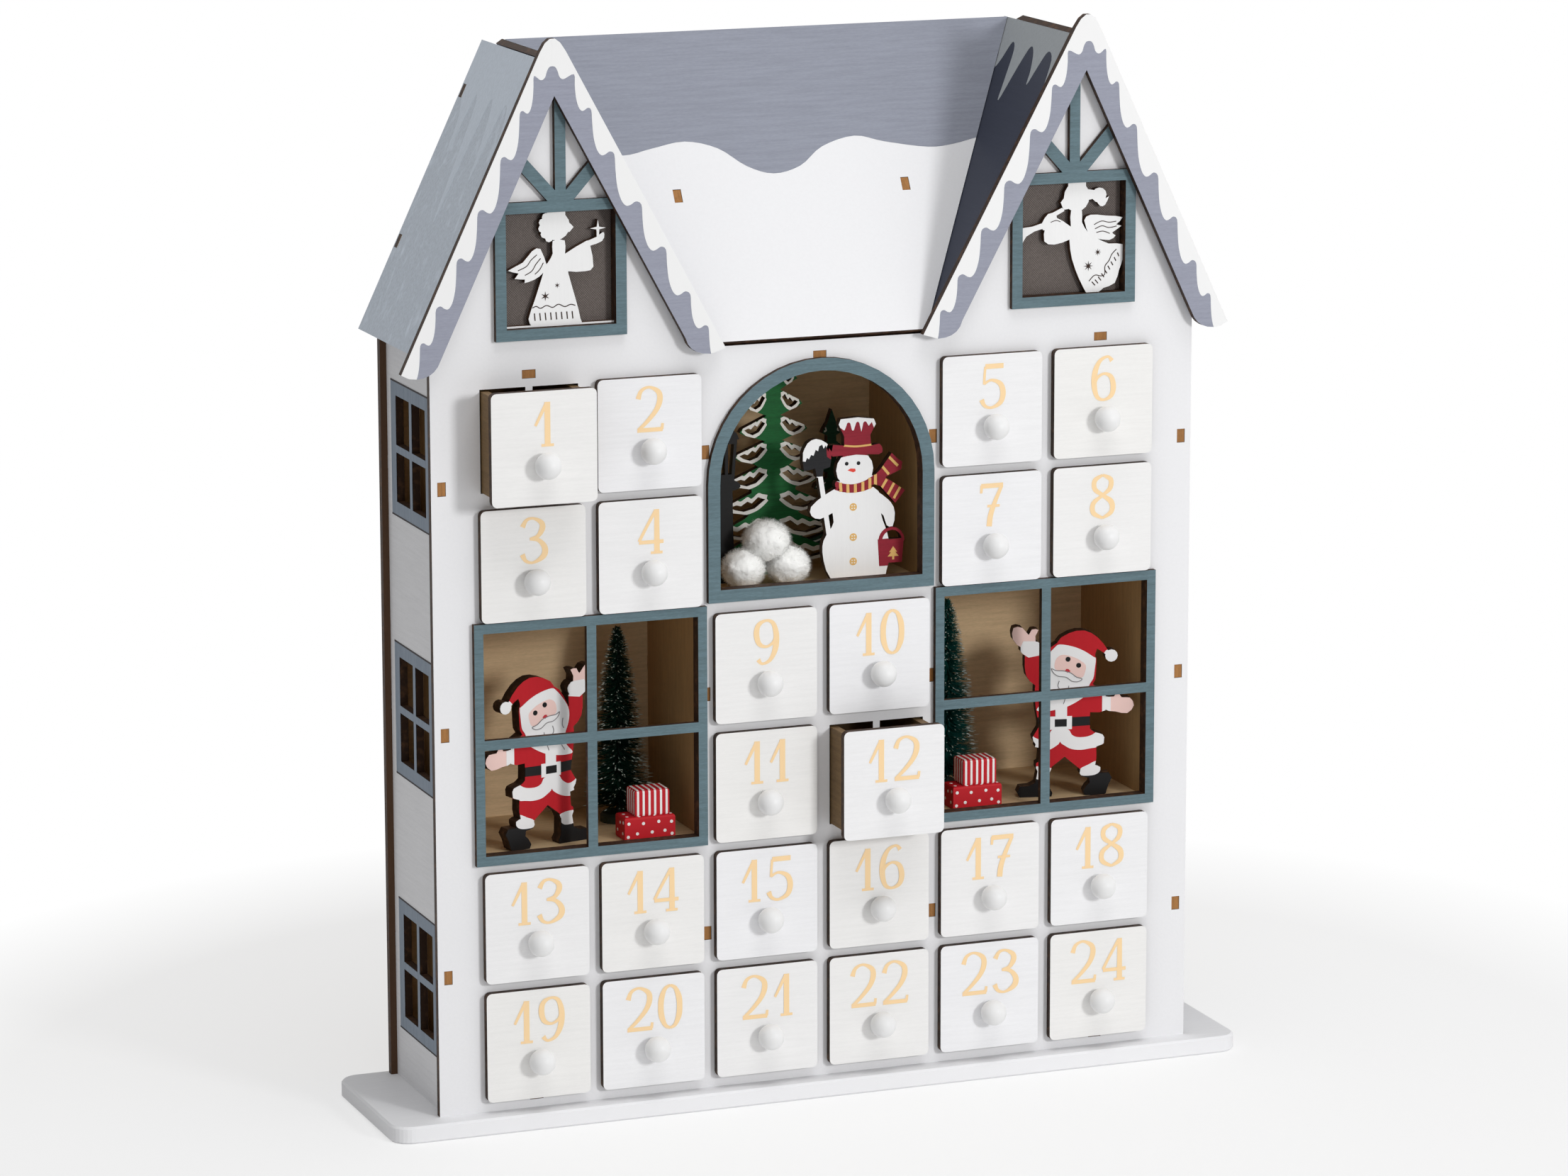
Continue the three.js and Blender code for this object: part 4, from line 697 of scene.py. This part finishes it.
HEM_LEFT = [(0, 25.9), (-1.3, 23.9), (-3.4, 22.9), (-6.6, 22.9), (-9.3, 23.7), (-11.7, 25.3), (-14.6, 25),
            (-14.4, 21), (-11.1, 18.8), (-8.7, 18.4), (-5, 17.9), (-1.3, 18.3), (1.3, 19.7), (3.2, 21.4),
            (3.6, 26)]
HEM_RIGHT = [(3.2, 21.4), (5.1, 19.5), (7.7, 18.2), (10.9, 17.6), (13.6, 18.4), (15.4, 21), (15, 25.4),
             (13.2, 23.4), (10.4, 22.4), (7.7, 24), (6.1, 26.2), (2.6, 26.2)]
BOOT_CUFFS = [[(-13, 12), (-10.9, 13.4), (-7.7, 12), (-4.6, 10.4), (-4.8, 8), (-9.3, 7.8), (-12, 9)],
              [(6.4, 11), (10.4, 12), (14.3, 11.6), (14.4, 9.6), (13, 7.2), (8.5, 7), (6.6, 9)]]
BEARD_LINES = [[(3.7, 45), (4.2, 43.2), (3.7, 42)], [(0, 43), (0.2, 41.6)],
               [(8.2, 47.4), (7.9, 45), (8.5, 43.6)], [(1.3, 38.2), (2, 36)], [(7.5, 37.4), (8.8, 35.4)]]
SANTA_CUFFS = [[(-16.2, 30), (-12.9, 30), (-12.9, 41), (-16.2, 41)],
               [(9.6, 57.6), (12, 60.6), (17.6, 60.8), (19.4, 57), (15.6, 54.4), (10.8, 55.2)]]
SANTA_BELT = [(-12, 29.2, 3.4), (-1, 28.9, 3.6), (4, 28.8, 3.8), (9, 29, 3.8), (18, 29.8, 3.6)]
SANTA_NOSE = [(-0.6, 48.6), (0.2, 49.5), (1, 49.6), (1.6, 48.8), (0.6, 48.1)]


def santa_plane(side):
    place = Matrix.Translation((side * SANTA_PLACE.x, SANTA_PLACE.y, shelf_top("window_shelf")))
    turn = Matrix.Rotation(-side * SANTA_YAW, 4, "Z")
    return place @ turn @ Matrix(((-side, 0, 0, 0), (0, 0, -1, 0), (0, 1, 0, 0), (0, 0, 0, 1)))


def dress_santas():
    red = board("santa_red", RED, "y", "z", contrast=0.93)
    white = plain("santa_white", tone(236, 235, 235), 0.55)
    skin = plain("santa_skin", tone(238, 204, 196), 0.55)
    black = plain("santa_black", tone(14, 13, 14), 0.42)
    grey = plain("santa_line", tone(130, 126, 128), 0.6)
    nose = plain("santa_nose", tone(190, 50, 60), 0.5)
    dress(both("santa"), red)
    for side, word in SIDES:
        plane = santa_plane(side)
        node = f"{word}_santa"
        boots = [box_loop(-20, -3, -1, 9.6), box_loop(5, 22, -1, 9)]
        hands = [box_loop(-28, -15.6, 28, 44), box_loop(10, 24, 58.6, 70)]
        fur = [spline(loop, 3, True) for loop in [HEM_LEFT, HEM_RIGHT] + BOOT_CUFFS]
        fur += [box_loop(0.6, 5.1, 30, 36), spline(HAIR, 3, True), circle(-16.2, 54, 3)]
        lines = [ribbon(even(line, 0.25)) for line in BEARD_LINES]
        lines += strip(even(spline(MOUSTACHE, 3, True) + [MOUSTACHE[0]], 0.28), 1)
        layers = [
            ("hands", hands, skin, 1),
            ("boots", boots + [ribbon(SANTA_BELT)], black, 1),
            ("white", SANTA_CUFFS + fur, white, 2),
            ("buckle", [box_loop(-1.3, 7.1, 26.1, 31.2)], white, 3),
            ("pin", [box_loop(0.7, 5.3, 27.2, 30.1)], black, 4),
            ("face", [spline(FACE, 4, True)], skin, 3),
            ("moustache", [spline(MOUSTACHE, 3, True)], white, 4),
            ("lines", lines, grey, 5),
            ("eyes", [circle(-3.7, 50.8, 0.95), circle(0.4, 53.3, 0.95)], black, 4),
            ("nose", [SANTA_NOSE], nose, 5),
        ]
        for layer, loops, paint, level in layers:
            print_on(node, f"{node}_{layer}", loops, plane, paint, level)


# Snowman plate: X from the middle of the house, heights from the shelf
SNOWMAN_FRONT = 10
HAT = [(12.6, 50.4), (10.6, 62.4), (27.4, 62.4), (25.4, 50.4)]
HAT_SNOW = [(10.4, 64), (28, 64), (27.6, 58.8), (25.6, 57.3), (24.6, 59.8), (23.4, 58.4), (22.4, 60),
            (21.2, 59.8), (20.4, 56.4), (19.6, 59.8), (18.4, 60), (17.4, 57.2), (16.6, 57.4), (16, 59.8),
            (14.8, 60), (13.8, 57.4), (12.6, 58), (10.4, 60)]
HAT_BAND = [(13.4, 51.6), (18.6, 51), (24.8, 51.3)]
BRIM = [(6.6, 50.6), (7.6, 52.6), (13.4, 51.9), (24.6, 51.4), (28, 52.4), (30, 49.4), (28, 46.6),
        (18.4, 47.9), (8, 46.9)]
SHOVEL_SNOW = [(-5, 57), (10, 57), (8.6, 49.6), (7.6, 51), (7.2, 49.8), (6.2, 52.2), (5.4, 51), (4.8, 52.6),
               (3.6, 52), (3.2, 50.2), (2.2, 50.8), (1.4, 48.6), (0.4, 49), (-0.4, 47.4), (-1.2, 48),
               (-1.8, 46.6), (-4, 47)]
CARROT = [(14.9, 42.2), (16.2, 42.8), (18, 42.6), (18.2, 41.7), (17.2, 41.3)]
PAIL = [(27, 15.2), (27.6, 5), (37.4, 5), (38.4, 15.4)]
PAIL_TREE = [[(31, 8.4), (35.4, 8.4), (33.2, 11)], [(31.6, 10), (34.8, 10), (33.2, 12.2)],
             [(32.8, 7.2), (33.6, 7.2), (33.6, 8.6), (32.8, 8.6)]]
BUTTON_X, BUTTON_HEIGHTS = 17.2, (28.2, 16.8, 7.6)
SCARF_TOP = [(9.6, 38.8), (13, 37.4), (17, 36.8), (21, 37.5), (24.6, 39.2), (27, 40.8)]
SCARF_FOOT = [(9.8, 35.2), (13.2, 34.1), (17, 33.6), (21, 33.9), (24.6, 35), (27, 36.6)]
SCARF_TAILS = [[(25, 36), (25, 40), (32.6, 49), (38, 44), (36.6, 40.8), (30.4, 38.4)],
               [(25, 39), (29, 39.4), (39, 33.4), (34, 27), (28.4, 33.2), (25, 35.4)]]
TAIL_STRIPES = [[(28.4, 43.2), (31.4, 39.6)], [(31, 46.6), (35, 42.6)], [(30.6, 37.8), (28.4, 34.4)],
                [(33.6, 36.4), (31, 32)], [(36, 34.6), (33.4, 30.4)]]


def dress_snowman():
    dress(["snowman"], board("snowman_white", SNOW, "y", "z", contrast=0.96))
    maroon = board("snowman_maroon", tone(148, 34, 50), "y", "x", tone(120, 24, 40), contrast=0.72)
    gold = plain("snowman_gold", tone(222, 178, 106), 0.5)
    black = board("snowman_black", tone(30, 30, 33), "y", "x", tone(24, 24, 26), contrast=0.5)
    white = plain("snowman_snow", SNOW, 0.6)
    orange = plain("snowman_nose", tone(222, 70, 56), 0.5)
    plane = front_plane(SNOWMAN_FRONT, 0, shelf_top("arch_shelf"))
    edges = list(zip(spline(SCARF_TOP, 4), spline(SCARF_FOOT, 4)))
    bands = [ribbon([(*edges[i][0], 1.1), (*edges[i][1], 1.2)]) for i in (3, 6, 9, 12, 15, 18)]
    bands += [ribbon(even(line, 1)) for line in TAIL_STRIPES]
    bands.append(ribbon(even(HAT_BAND, 0.7)))
    turns = [math.pi * k / 8 for k in range(9)]
    handle = ribbon([(32.6 + 4.65 * math.cos(a), 14.2 + 4.85 * math.sin(a), 1.5) for a in turns], 2)
    holes = []
    for z in BUTTON_HEIGHTS:
        for dx, dz in ((-0.5, -0.5), (-0.5, 0.5), (0.5, -0.5), (0.5, 0.5)):
            holes.append(circle(BUTTON_X + dx, z + dz, 0.26, steps=8))
    layers = [
        ("hat", [HAT], maroon, 1),
        ("brim", [spline(BRIM, 3, True)], maroon, 2),
        ("snow", [spline(HAT_SNOW, 2, True)], white, 2),
        ("scarf", [spline(SCARF_TOP, 4) + spline(SCARF_FOOT, 4)[::-1]] + SCARF_TAILS, maroon, 1),
        ("pail", [PAIL, handle], maroon, 1),
        ("shovel", [box_loop(-4, 9, 40.6, 56)], black, 1),
        ("shovel_snow", [SHOVEL_SNOW], white, 2),
        ("stripes", bands, gold, 3),
        ("pail_tree", PAIL_TREE, gold, 2),
        ("buttons", [circle(BUTTON_X, z, 1.45) for z in BUTTON_HEIGHTS], gold, 1),
        ("holes", holes, white, 2),
        ("eyes", [circle(14.6, 44.7, 0.72), circle(19.3, 44.6, 0.72)], black, 1),
        ("nose", [CARROT], orange, 1),
    ]
    for layer, loops, paint, level in layers:
        print_on("snowman", f"snowman_{layer}", loops, plane, paint, level)


# Cuts in the angel plates: from the middle of the window and its lower edge, with their widths
LEFT_CUTS = [
    ([(-10.3, 7.2), (-8.8, 7.7), (-7.2, 6.9), (-5, 7.8), (-2.6, 7), (-0.4, 8), (2, 7), (4.2, 7.7),
      (6, 7.2)], 0.34),
    ([(-8.4, 26.4), (-10.6, 24.6), (-12.4, 22.4), (-15.6, 21)], 0.3),
    ([(-7, 25), (-8.8, 23), (-10.4, 20.6), (-13, 19.2)], 0.3),
    ([(-6, 23.4), (-7.4, 21), (-9.2, 19.4)], 0.3),
]
RIGHT_CUTS = [
    ([(7.1, 4.3), (9.4, 6.4), (12, 6), (13.5, 6.6), (13.6, 9.6), (15.2, 11.6), (16.4, 14),
      (18.2, 15.7)], 0.34),
    ([(9, 25.4), (12, 26.6), (15, 26), (18, 26.2)], 0.3),
    ([(9.4, 23.8), (12.2, 24.8), (15, 24), (18.2, 24.4)], 0.3),
    ([(10, 22.4), (12.6, 22.8), (15.4, 21.8)], 0.3),
    ([(-4.6, 27.2), (-6.4, 27.8), (-8.6, 27.2)], 0.25),
]
WINDOW_EDGE = 3.9
SCREEN_DEPTH, THREAD_PITCH = 2.6, 0.9


def star(x, z, radius, points, core=0.3):
    loop = []
    for i in range(2 * points):
        a = math.pi * i / points + math.pi / 2
        r = radius if i % 2 == 0 else radius * core
        loop.append((x + r * math.cos(a), z + r * math.sin(a)))
    return loop


def dress_angels():
    """White plates in front of a screen, which is one node with them and is woven behind its own depth."""
    shader = Shader("angel_white", 0.55)
    face, noise = grained(shader, SNOW, shade(SNOW, 0.96), "z")
    burnt = shader.mix(shader.step(shader.along("y"), 0.5, 0.6), tone(74, 52, 38), face)
    turn = 2 * math.pi / (THREAD_PITCH * MM)
    threads = [shader.calc("SINE", shader.calc("MULTIPLY", shader.height(way), turn)) for way in "xz"]
    weave = shader.step(shader.calc("MULTIPLY", *threads), -0.7, 0.7)
    cloth = shader.mix(weave, tone(78, 70, 67), tone(118, 109, 104))
    loose = shader.step(shader.noise((1, 1, 1), 1100, 3), 0.35, 0.7)
    cloth = shader.mix(shader.calc("MULTIPLY", loose, 0.5), cloth, tone(74, 66, 62))
    behind = shader.past("y", SCREEN_DEPTH - 0.1, SCREEN_DEPTH - 0.05)
    dress(both("angel"), shader.finish(shader.mix(behind, burnt, cloth), noise))
    dark = plain("angel_cut", tone(58, 44, 38), 0.8)
    slots = [([(-9.6 + 2.05 * i + 0.25, 2.5), (-9.6 + 2.05 * i, 5.2)], 0.42) for i in range(8)]
    hem = []
    for i in range(9):
        t = i / 8
        x, z = 9.6 + 9.6 * t, 2.6 + 10.4 * t ** 1.3
        hem.append(([(x, z), (x - 1.3 + 0.7 * t, z + 1.4)], 0.4))
    stars = {"left": [star(-0.8, 14.9, 1, 6), star(-5.4, 11.2, 1.7, 6)],
             "right": [star(10.6, 15, 1.3, 8), star(6.8, 10, 1.9, 8)]}
    for word, cuts in (("left", LEFT_CUTS + slots), ("right", RIGHT_CUTS + hem)):
        low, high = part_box(f"{word}_angel")
        plane = front_plane(0, (low.x + high.x) / 2 / MM, low.z / MM + WINDOW_EDGE)
        loops = [ribbon(even(line, width)) for line, width in cuts] + stars[word]
        print_on(f"{word}_angel", f"{word}_angel_cuts", loops, plane, dark)


# Fir panel: its branches follow the tiers of the board
FIR_FRONT, FIR_AXIS, FIR_TRUNK = 34, -5.2, 5.4
FIR_TIERS, FIR_PITCH, FIR_REACH, FIR_STEP = 8, 9.6, 23.5, 2
# White bands round each gap: a line in the gap and the band's outer edge, in shares of the branch and rises
FIR_RIM = ([(1.06, 2.8), (0.85, 1.8), (0.6, 0.9), (0.3, 1.9), (0, 5)],
           [(-0.08, 3.6), (0.1, 1.3), (0.3, -0.3), (0.6, -1.3), (0.87, -0.4), (1.12, 1.4)])
FIR_DRIPS = ([(1.06, 1.6), (0.8, 1.9), (0.68, 1.4), (0.5, 3), (0.38, 2.2), (0.2, 4.4), (0.1, 3.8),
              (-0.02, 3.6)],
             [(-0.06, 5.8), (0.08, 6.2), (0.2, 6.7), (0.38, 4.8), (0.5, 5.5), (0.68, 4), (0.8, 4.4),
              (1.06, 3.2)])


def dress_fir():
    dress(["fir_tree_panel"], board("fir_green", tone(26, 104, 52), "y", "x", contrast=0.55))
    white = plain("fir_snow", tone(236, 234, 228), 0.6)
    loops = []
    for tier in range(FIR_TIERS):
        foot = FIR_PITCH * (tier + 0.55)
        start = FIR_TRUNK / 2 + 0.6
        reach = FIR_REACH - tier * FIR_STEP - 1.8 - start
        for side in (-1, 1):
            for edge, outline in (FIR_RIM, FIR_DRIPS):
                band = edge + spline(outline, 4)
                loops.append([(side * (start + u * reach), foot + v) for u, v in band])
    plane = front_plane(FIR_FRONT, FIR_AXIS, shelf_top("arch_shelf"))
    print_on("fir_tree_panel", "fir_snow_lines", loops, plane, white)


SMALL_TREE_PLACE, SMALL_TREE_HEIGHT = (24.5, 50), 58
SMALL_TREE_TIERS = [(6 + 7 * tier, 10.5 - 1.1 * tier) for tier in range(7)]


def small_tree():
    """Thin dark tree at the back of the arch, behind the snowman."""
    right = [(1.8, 0)]
    flecks = []
    for z, reach in SMALL_TREE_TIERS:
        right += [(1.8, z), (reach, z + 1), (reach - 0.6, z + 2.6), (1.8, z + 4.8)]
        for side in (-1, 1):
            flecks += strip([(side * (reach - 0.7), z + 1.7, 0.7), (side * reach * 0.6, z + 1.9, 0.6),
                             (side * 2.6, z + 3.2, 0.5)], 3)
    loop = right + [(0, SMALL_TREE_HEIGHT)] + [(-x, z) for x, z in reversed(right)]
    x, y = SMALL_TREE_PLACE
    plane = front_plane(y, x, shelf_top("arch_shelf"))
    green = board("small_tree_green", tone(26, 66, 44), "y", "x", contrast=0.5)
    piece("small_tree", slab("small_tree", loop, plane, -BOARD, 0), green, "house")
    white = plain("small_tree_white", tone(200, 198, 190), 0.6)
    snow = flat_mesh("small_tree_snow", flecks, [0] * len(flecks), plane)
    piece("small_tree_snow", snow, white, "house")


# Gifts: dots on the lower box and stripes on the upper one, from the lower box's middle
GIFT_X, UPPER_GIFT_SHIFT = 65.6, 1.2
LOWER_GIFT_FRONT, LOWER_GIFT_TOP, LOWER_GIFT_END = 4.75, 8.9, 9.9
UPPER_GIFT_FRONT, UPPER_GIFT_TOP, UPPER_GIFT_END = 5.5, 18.7, 6.7
DOT_RADIUS, STRIPE_HALF = 0.62, 0.42
FRONT_DOTS = [(-8.3, 6.6), (-5, 2.6), (-2.6, 6.3), (0.8, 2.8), (3.4, 6.6), (5.8, 3), (8.4, 6.2), (8.6, 1.6),
              (-8.6, 1.6)]
TOP_DOTS = [(-8.4, 6.6), (-4, 5.9), (2, 6), (8.6, 6.4), (-8.2, 11), (9, 11)]
END_DOTS = [(7, 2.6), (9.8, 6.3), (12.6, 3), (6.4, 6.8)]
STRIPES = [-5.6, -3.4, -1.1, 1.1, 3.4, 5.6]
END_STRIPES = [7, 9.2, 11.4, 13.6]


def dots(places, u, v):
    return [circle(u + du, v + dv, DOT_RADIUS, steps=12) for du, dv in places]


def stripes(places, u, low, high):
    return [box_loop(u + du - STRIPE_HALF, u + du + STRIPE_HALF, low, high) for du in places]


def dress_gifts():
    white = plain("gift_white", tone(238, 236, 234), 0.45)
    floor = shelf_top("window_shelf")
    span = (floor + LOWER_GIFT_TOP, floor + UPPER_GIFT_TOP - 0.1)
    for side, word in SIDES:
        x = side * GIFT_X
        upper = x + UPPER_GIFT_SHIFT
        layers = [
            ("dots", dots(FRONT_DOTS, x, floor), front_plane(LOWER_GIFT_FRONT)),
            ("top_dots", dots(TOP_DOTS, x, 0), top_plane(floor + LOWER_GIFT_TOP)),
            ("stripes", stripes(STRIPES, upper, *span), front_plane(UPPER_GIFT_FRONT)),
            ("top_stripes", stripes(STRIPES, upper, 5.2, 15.2), top_plane(floor + UPPER_GIFT_TOP)),
        ]
        for end in (-1, 1):
            plane = side_plane(x + end * LOWER_GIFT_END, end)
            layers.append((f"end{end + 1}_dots", dots(END_DOTS, 0, floor), plane))
            plane = side_plane(upper + end * UPPER_GIFT_END, end)
            layers.append((f"end{end + 1}_stripes", stripes(END_STRIPES, 0, *span), plane))
        for layer, loops, plane in layers:
            print_on("window_shelf", f"{word}_gift_{layer}", loops, plane, white)


# Bottle-brush trees and cotton balls: place, height over the shelf and radius of each ball
BRUSH_STRANDS = 5200
BALLS = [(-25.2, 13.4, 7.5, 8.3), (-7.6, 13.2, 7.5, 8.3), (-15.6, 14.6, 17, 9)]
BALL_FIBRES = 9000


def strand(points, faces, foot, tip, width, across):
    """A flat tapering strand from foot to tip."""
    k = len(points)
    middle = foot.lerp(tip, 0.55)
    points += [foot - across * width, foot + across * width, middle - across * width * 0.8,
               middle + across * width * 0.8, tip]
    faces += [(k, k + 1, k + 3, k + 2), (k + 2, k + 3, k + 4)]


def plain_mesh(name, points, faces):
    mesh = bpy.data.meshes.new(name)
    mesh.from_pydata([p * MM for p in points], [], faces)
    return mesh


def brush_trees():
    """A dark green tree on the left and a blue-green one on the right, both with frosted tips."""
    wire = plain("brush_wire", tone(40, 44, 40), 0.5)
    foot_paint = plain("brush_foot", tone(52, 60, 50), 0.6)
    for word, green, white in (("left", tone(16, 48, 36), tone(208, 218, 210)),
                               ("right", tone(18, 84, 78), tone(214, 226, 222))):
        node = f"{word}_brush_tree"
        low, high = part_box(node)
        centre = (low + high) / 2 / MM
        floor, top = low.z / MM, high.z / MM
        axis = Vector((centre.x, centre.y, 0))
        reach = (high.x - low.x) / 2 / MM
        colours = {"green": ([], []), "white": ([], [])}
        for i in range(BRUSH_STRANDS):
            t = (i + random.random()) / BRUSH_STRANDS
            z = floor + 6 + t * (top - floor - 7)
            turn = random.uniform(0, 2 * math.pi)
            out = Vector((math.cos(turn), math.sin(turn), 0))
            length = (reach - 1.4) * (1 - t) ** 0.62 * random.uniform(0.78, 1) + 1
            foot = axis + out * 0.4 + Vector((0, 0, z))
            tip = axis + out * length + Vector((0, 0, z + random.uniform(-1.6, 1.2)))
            across = Vector((-out.y, out.x, random.uniform(-0.8, 0.8))).normalized()
            strand(*colours["green"], foot, tip, 0.2, across)
            if random.random() < 0.22:
                strand(*colours["white"], foot.lerp(tip, 0.84), tip + out * 0.1, 0.24, across)
        main = piece(f"{word}_brush", plain_mesh(f"{word}_brush", *colours["green"]),
                     plain(f"{word}_bristle", green, 0.5), "house")
        piece(f"{word}_brush_snow", plain_mesh(f"{word}_brush_snow", *colours["white"]),
              plain(f"{word}_bristle_snow", white, 0.7), "house")
        stem = [(0, floor + 3), (0.9, floor + 3), (0.8, top - 3), (0, top - 1)]
        lathe(f"{word}_brush_wire", axis, stem, wire)
        disc = [(0, floor), (7, floor), (7, floor + 2.4), (6, floor + 3.4), (0, floor + 3.6)]
        lathe(f"{word}_brush_foot", axis, disc, foot_paint)
        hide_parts(node)


def lathe(name, axis, profile, material, steps=32):
    """A turned form: its profile is a list of radius and height."""
    points, faces = [], []
    for r, z in profile:
        for i in range(steps):
            a = 2 * math.pi * i / steps
            points.append(axis + Vector((r * math.cos(a), r * math.sin(a), z)))
    for row in range(len(profile) - 1):
        for i in range(steps):
            k = (i + 1) % steps
            faces.append((row * steps + i, row * steps + k, (row + 1) * steps + k, (row + 1) * steps + i))
    piece(name, plain_mesh(name, points, faces), material, "house")


def cotton_balls():
    """Three lumpy balls under a coat of fibres, which are shaded by the ball's own shape."""
    floor = shelf_top("arch_shelf")
    form = bmesh.new()
    points, faces, normals = [], [], []
    for x, y, z, radius in BALLS:
        centre = Vector((x, y, floor + z))
        made = bmesh.ops.create_icosphere(form, subdivisions=5, radius=1)["verts"]
        for vert in made:
            push = 0.9 + 0.1 * lumps.noise(vert.co * 2.4 + centre)
            push += 0.05 * lumps.noise(vert.co * 9 + centre)
            vert.co = squashed(centre, vert.co, radius * push, floor) * MM
        for _ in range(BALL_FIBRES):
            out = Vector([random.gauss(0, 1) for _ in range(3)]).normalized()
            lean = (out + Vector([random.gauss(0, 0.55) for _ in range(3)])).normalized()
            foot = squashed(centre, out, radius * 0.9, floor)
            tip = foot + lean * random.uniform(0.6, 2.2) * radius / 9
            tip.z = max(tip.z, floor + 0.15)
            across = lean.cross(Vector([random.gauss(0, 1) for _ in range(3)])).normalized()
            if across.cross(lean).dot(out) < 0:
                across.negate()
            strand(points, faces, foot, tip, 0.034, across)
            normals += [out] * 5
    mesh = bpy.data.meshes.new("cotton")
    form.to_mesh(mesh)
    mesh.shade_smooth()
    wool = Shader("cotton_wool", 1.0)
    wool.bsdf.inputs["Sheen Weight"].default_value = 0.4
    paint = wool.finish(tone(250, 250, 248), wool.noise((1, 1, 1), 900, 6), 0.0004)
    main = piece("cotton", mesh, paint, "house")
    fibres = plain_mesh("cotton_fibres", points, faces)
    fibres.shade_smooth()
    fibres.normals_split_custom_set_from_vertices(normals)
    white = plain("cotton_fibre", tone(252, 252, 250), 0.9)
    piece("cotton_fibres", fibres, white, "house").visible_shadow = False
    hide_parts("cotton_balls")


def squashed(centre, out, radius, floor):
    """A point of a slightly flattened ball, kept over the shelf."""
    point = centre + Vector((out.x * 1.02, out.y, out.z * 0.9)) * radius
    point.z = max(point.z, floor + 0.1)
    return point


# Lamps, floor and camera, in metres and watts; the floor turns white from one distance to the other
WORLD_LEVEL = 0.31
WHITE_LEAST, WHITE_FROM, WHITE_TO = 0.6, 0.15, 0.42
KEY_PLACE, KEY_SIZE, KEY_POWER = Vector((0.85, -1.9, 0.72)), 0.36, 17.8
TOP_LAMP_PLACE, TOP_LAMP_SIZE, TOP_LAMP_POWER = Vector((0.1, -0.5, 2.0)), 1.2, 15


def build_stage():
    """Pale floor and world, white where they show as the background, and two soft lamps."""
    floor = Shader("floor_paint", 0.9)
    bpy.ops.mesh.primitive_plane_add(size=14, location=(0, 0, 0))
    plane = bpy.context.object
    plane.name = "floor"
    paint = floor.finish(tone(250, 250, 250))
    away = floor.node("ShaderNodeVectorMath", {0: floor.place}, operation="LENGTH").outputs["Value"]
    share = floor.calc("MAXIMUM", floor.step(away, WHITE_FROM, WHITE_TO), WHITE_LEAST)
    share = floor.calc("MULTIPLY", share, seen(floor.tree), True)
    white = floor.node("ShaderNodeEmission", {"Color": (1, 1, 1, 1), "Strength": 1.0})
    surface = floor.node("ShaderNodeMixShader", {0: share, 1: floor.bsdf.outputs[0], 2: white.outputs[0]})
    feed(floor.tree, floor.tree.nodes["Material Output"].inputs[0], surface.outputs[0])
    plane.data.materials.append(paint)
    world = bpy.data.worlds.new("studio")
    bpy.context.scene.world = world
    world.use_nodes = True
    tree = world.node_tree
    lit = add_node(tree, "ShaderNodeBackground", {0: (1, 1, 1, 1), 1: WORLD_LEVEL})
    shown = add_node(tree, "ShaderNodeBackground", {0: (1, 1, 1, 1), 1: 1})
    mixed = add_node(tree, "ShaderNodeMixShader", {0: seen(tree), 1: lit.outputs[0], 2: shown.outputs[0]})
    feed(tree, tree.nodes["World Output"].inputs[0], mixed.outputs[0])
    area_lamp("key", KEY_PLACE, KEY_SIZE, KEY_POWER)
    area_lamp("top", TOP_LAMP_PLACE, TOP_LAMP_SIZE, TOP_LAMP_POWER)


def seen(tree):
    """1 for rays that show the background, straight on or in metal and glass."""
    path = add_node(tree, "ShaderNodeLightPath")
    share = path.outputs["Is Camera Ray"]
    for name in ("Is Glossy Ray", "Is Transmission Ray"):
        inputs = {0: share, 1: path.outputs[name]}
        share = add_node(tree, "ShaderNodeMath", inputs, operation="MAXIMUM").outputs[0]
    return share


def area_lamp(name, place, size, power):
    data = bpy.data.lights.new(name, "AREA")
    data.size = size
    data.energy = power
    lamp = bpy.data.objects.new(name, data)
    bpy.context.scene.collection.objects.link(lamp)
    lamp.location = place
    lamp.rotation_euler = (Vector((0, 0, 0.2)) - place).to_track_quat("-Z", "Y").to_euler()


# The camera stands where the photograph was taken from
CAMERA_PLACE = Vector((-0.7844, -1.9959, 0.6410))
CAMERA_YAW = math.radians(21.10)
CAMERA_PITCH = math.radians(11.79)
CAMERA_ROLL = math.radians(-0.125)
CAMERA_LENS = 136.14


def build_camera():
    data = bpy.data.cameras.new("camera")
    data.lens = CAMERA_LENS
    data.sensor_width = 36
    camera = bpy.data.objects.new("camera", data)
    bpy.context.scene.collection.objects.link(camera)
    camera.location = CAMERA_PLACE
    turn = Matrix.Rotation(-CAMERA_YAW, 3, "Z") @ Matrix.Rotation(math.pi / 2 - CAMERA_PITCH, 3, "X")
    camera.rotation_euler = (turn @ Matrix.Rotation(CAMERA_ROLL, 3, "Z")).to_euler()
    bpy.context.scene.camera = camera


random.seed(24)
dress_boards()
dress_shelves()
dress_drawers()
number_drawers()
snow_on_bargeboards()
slate_on_main_roof()
icicles_on_slopes()
surrounds_on_walls()
dress_angels()
dress_santas()
dress_snowman()
dress_fir()
small_tree()
dress_gifts()
brush_trees()
cotton_balls()
build_stage()
build_camera()
bpy.context.scene.view_settings.view_transform = "Standard"
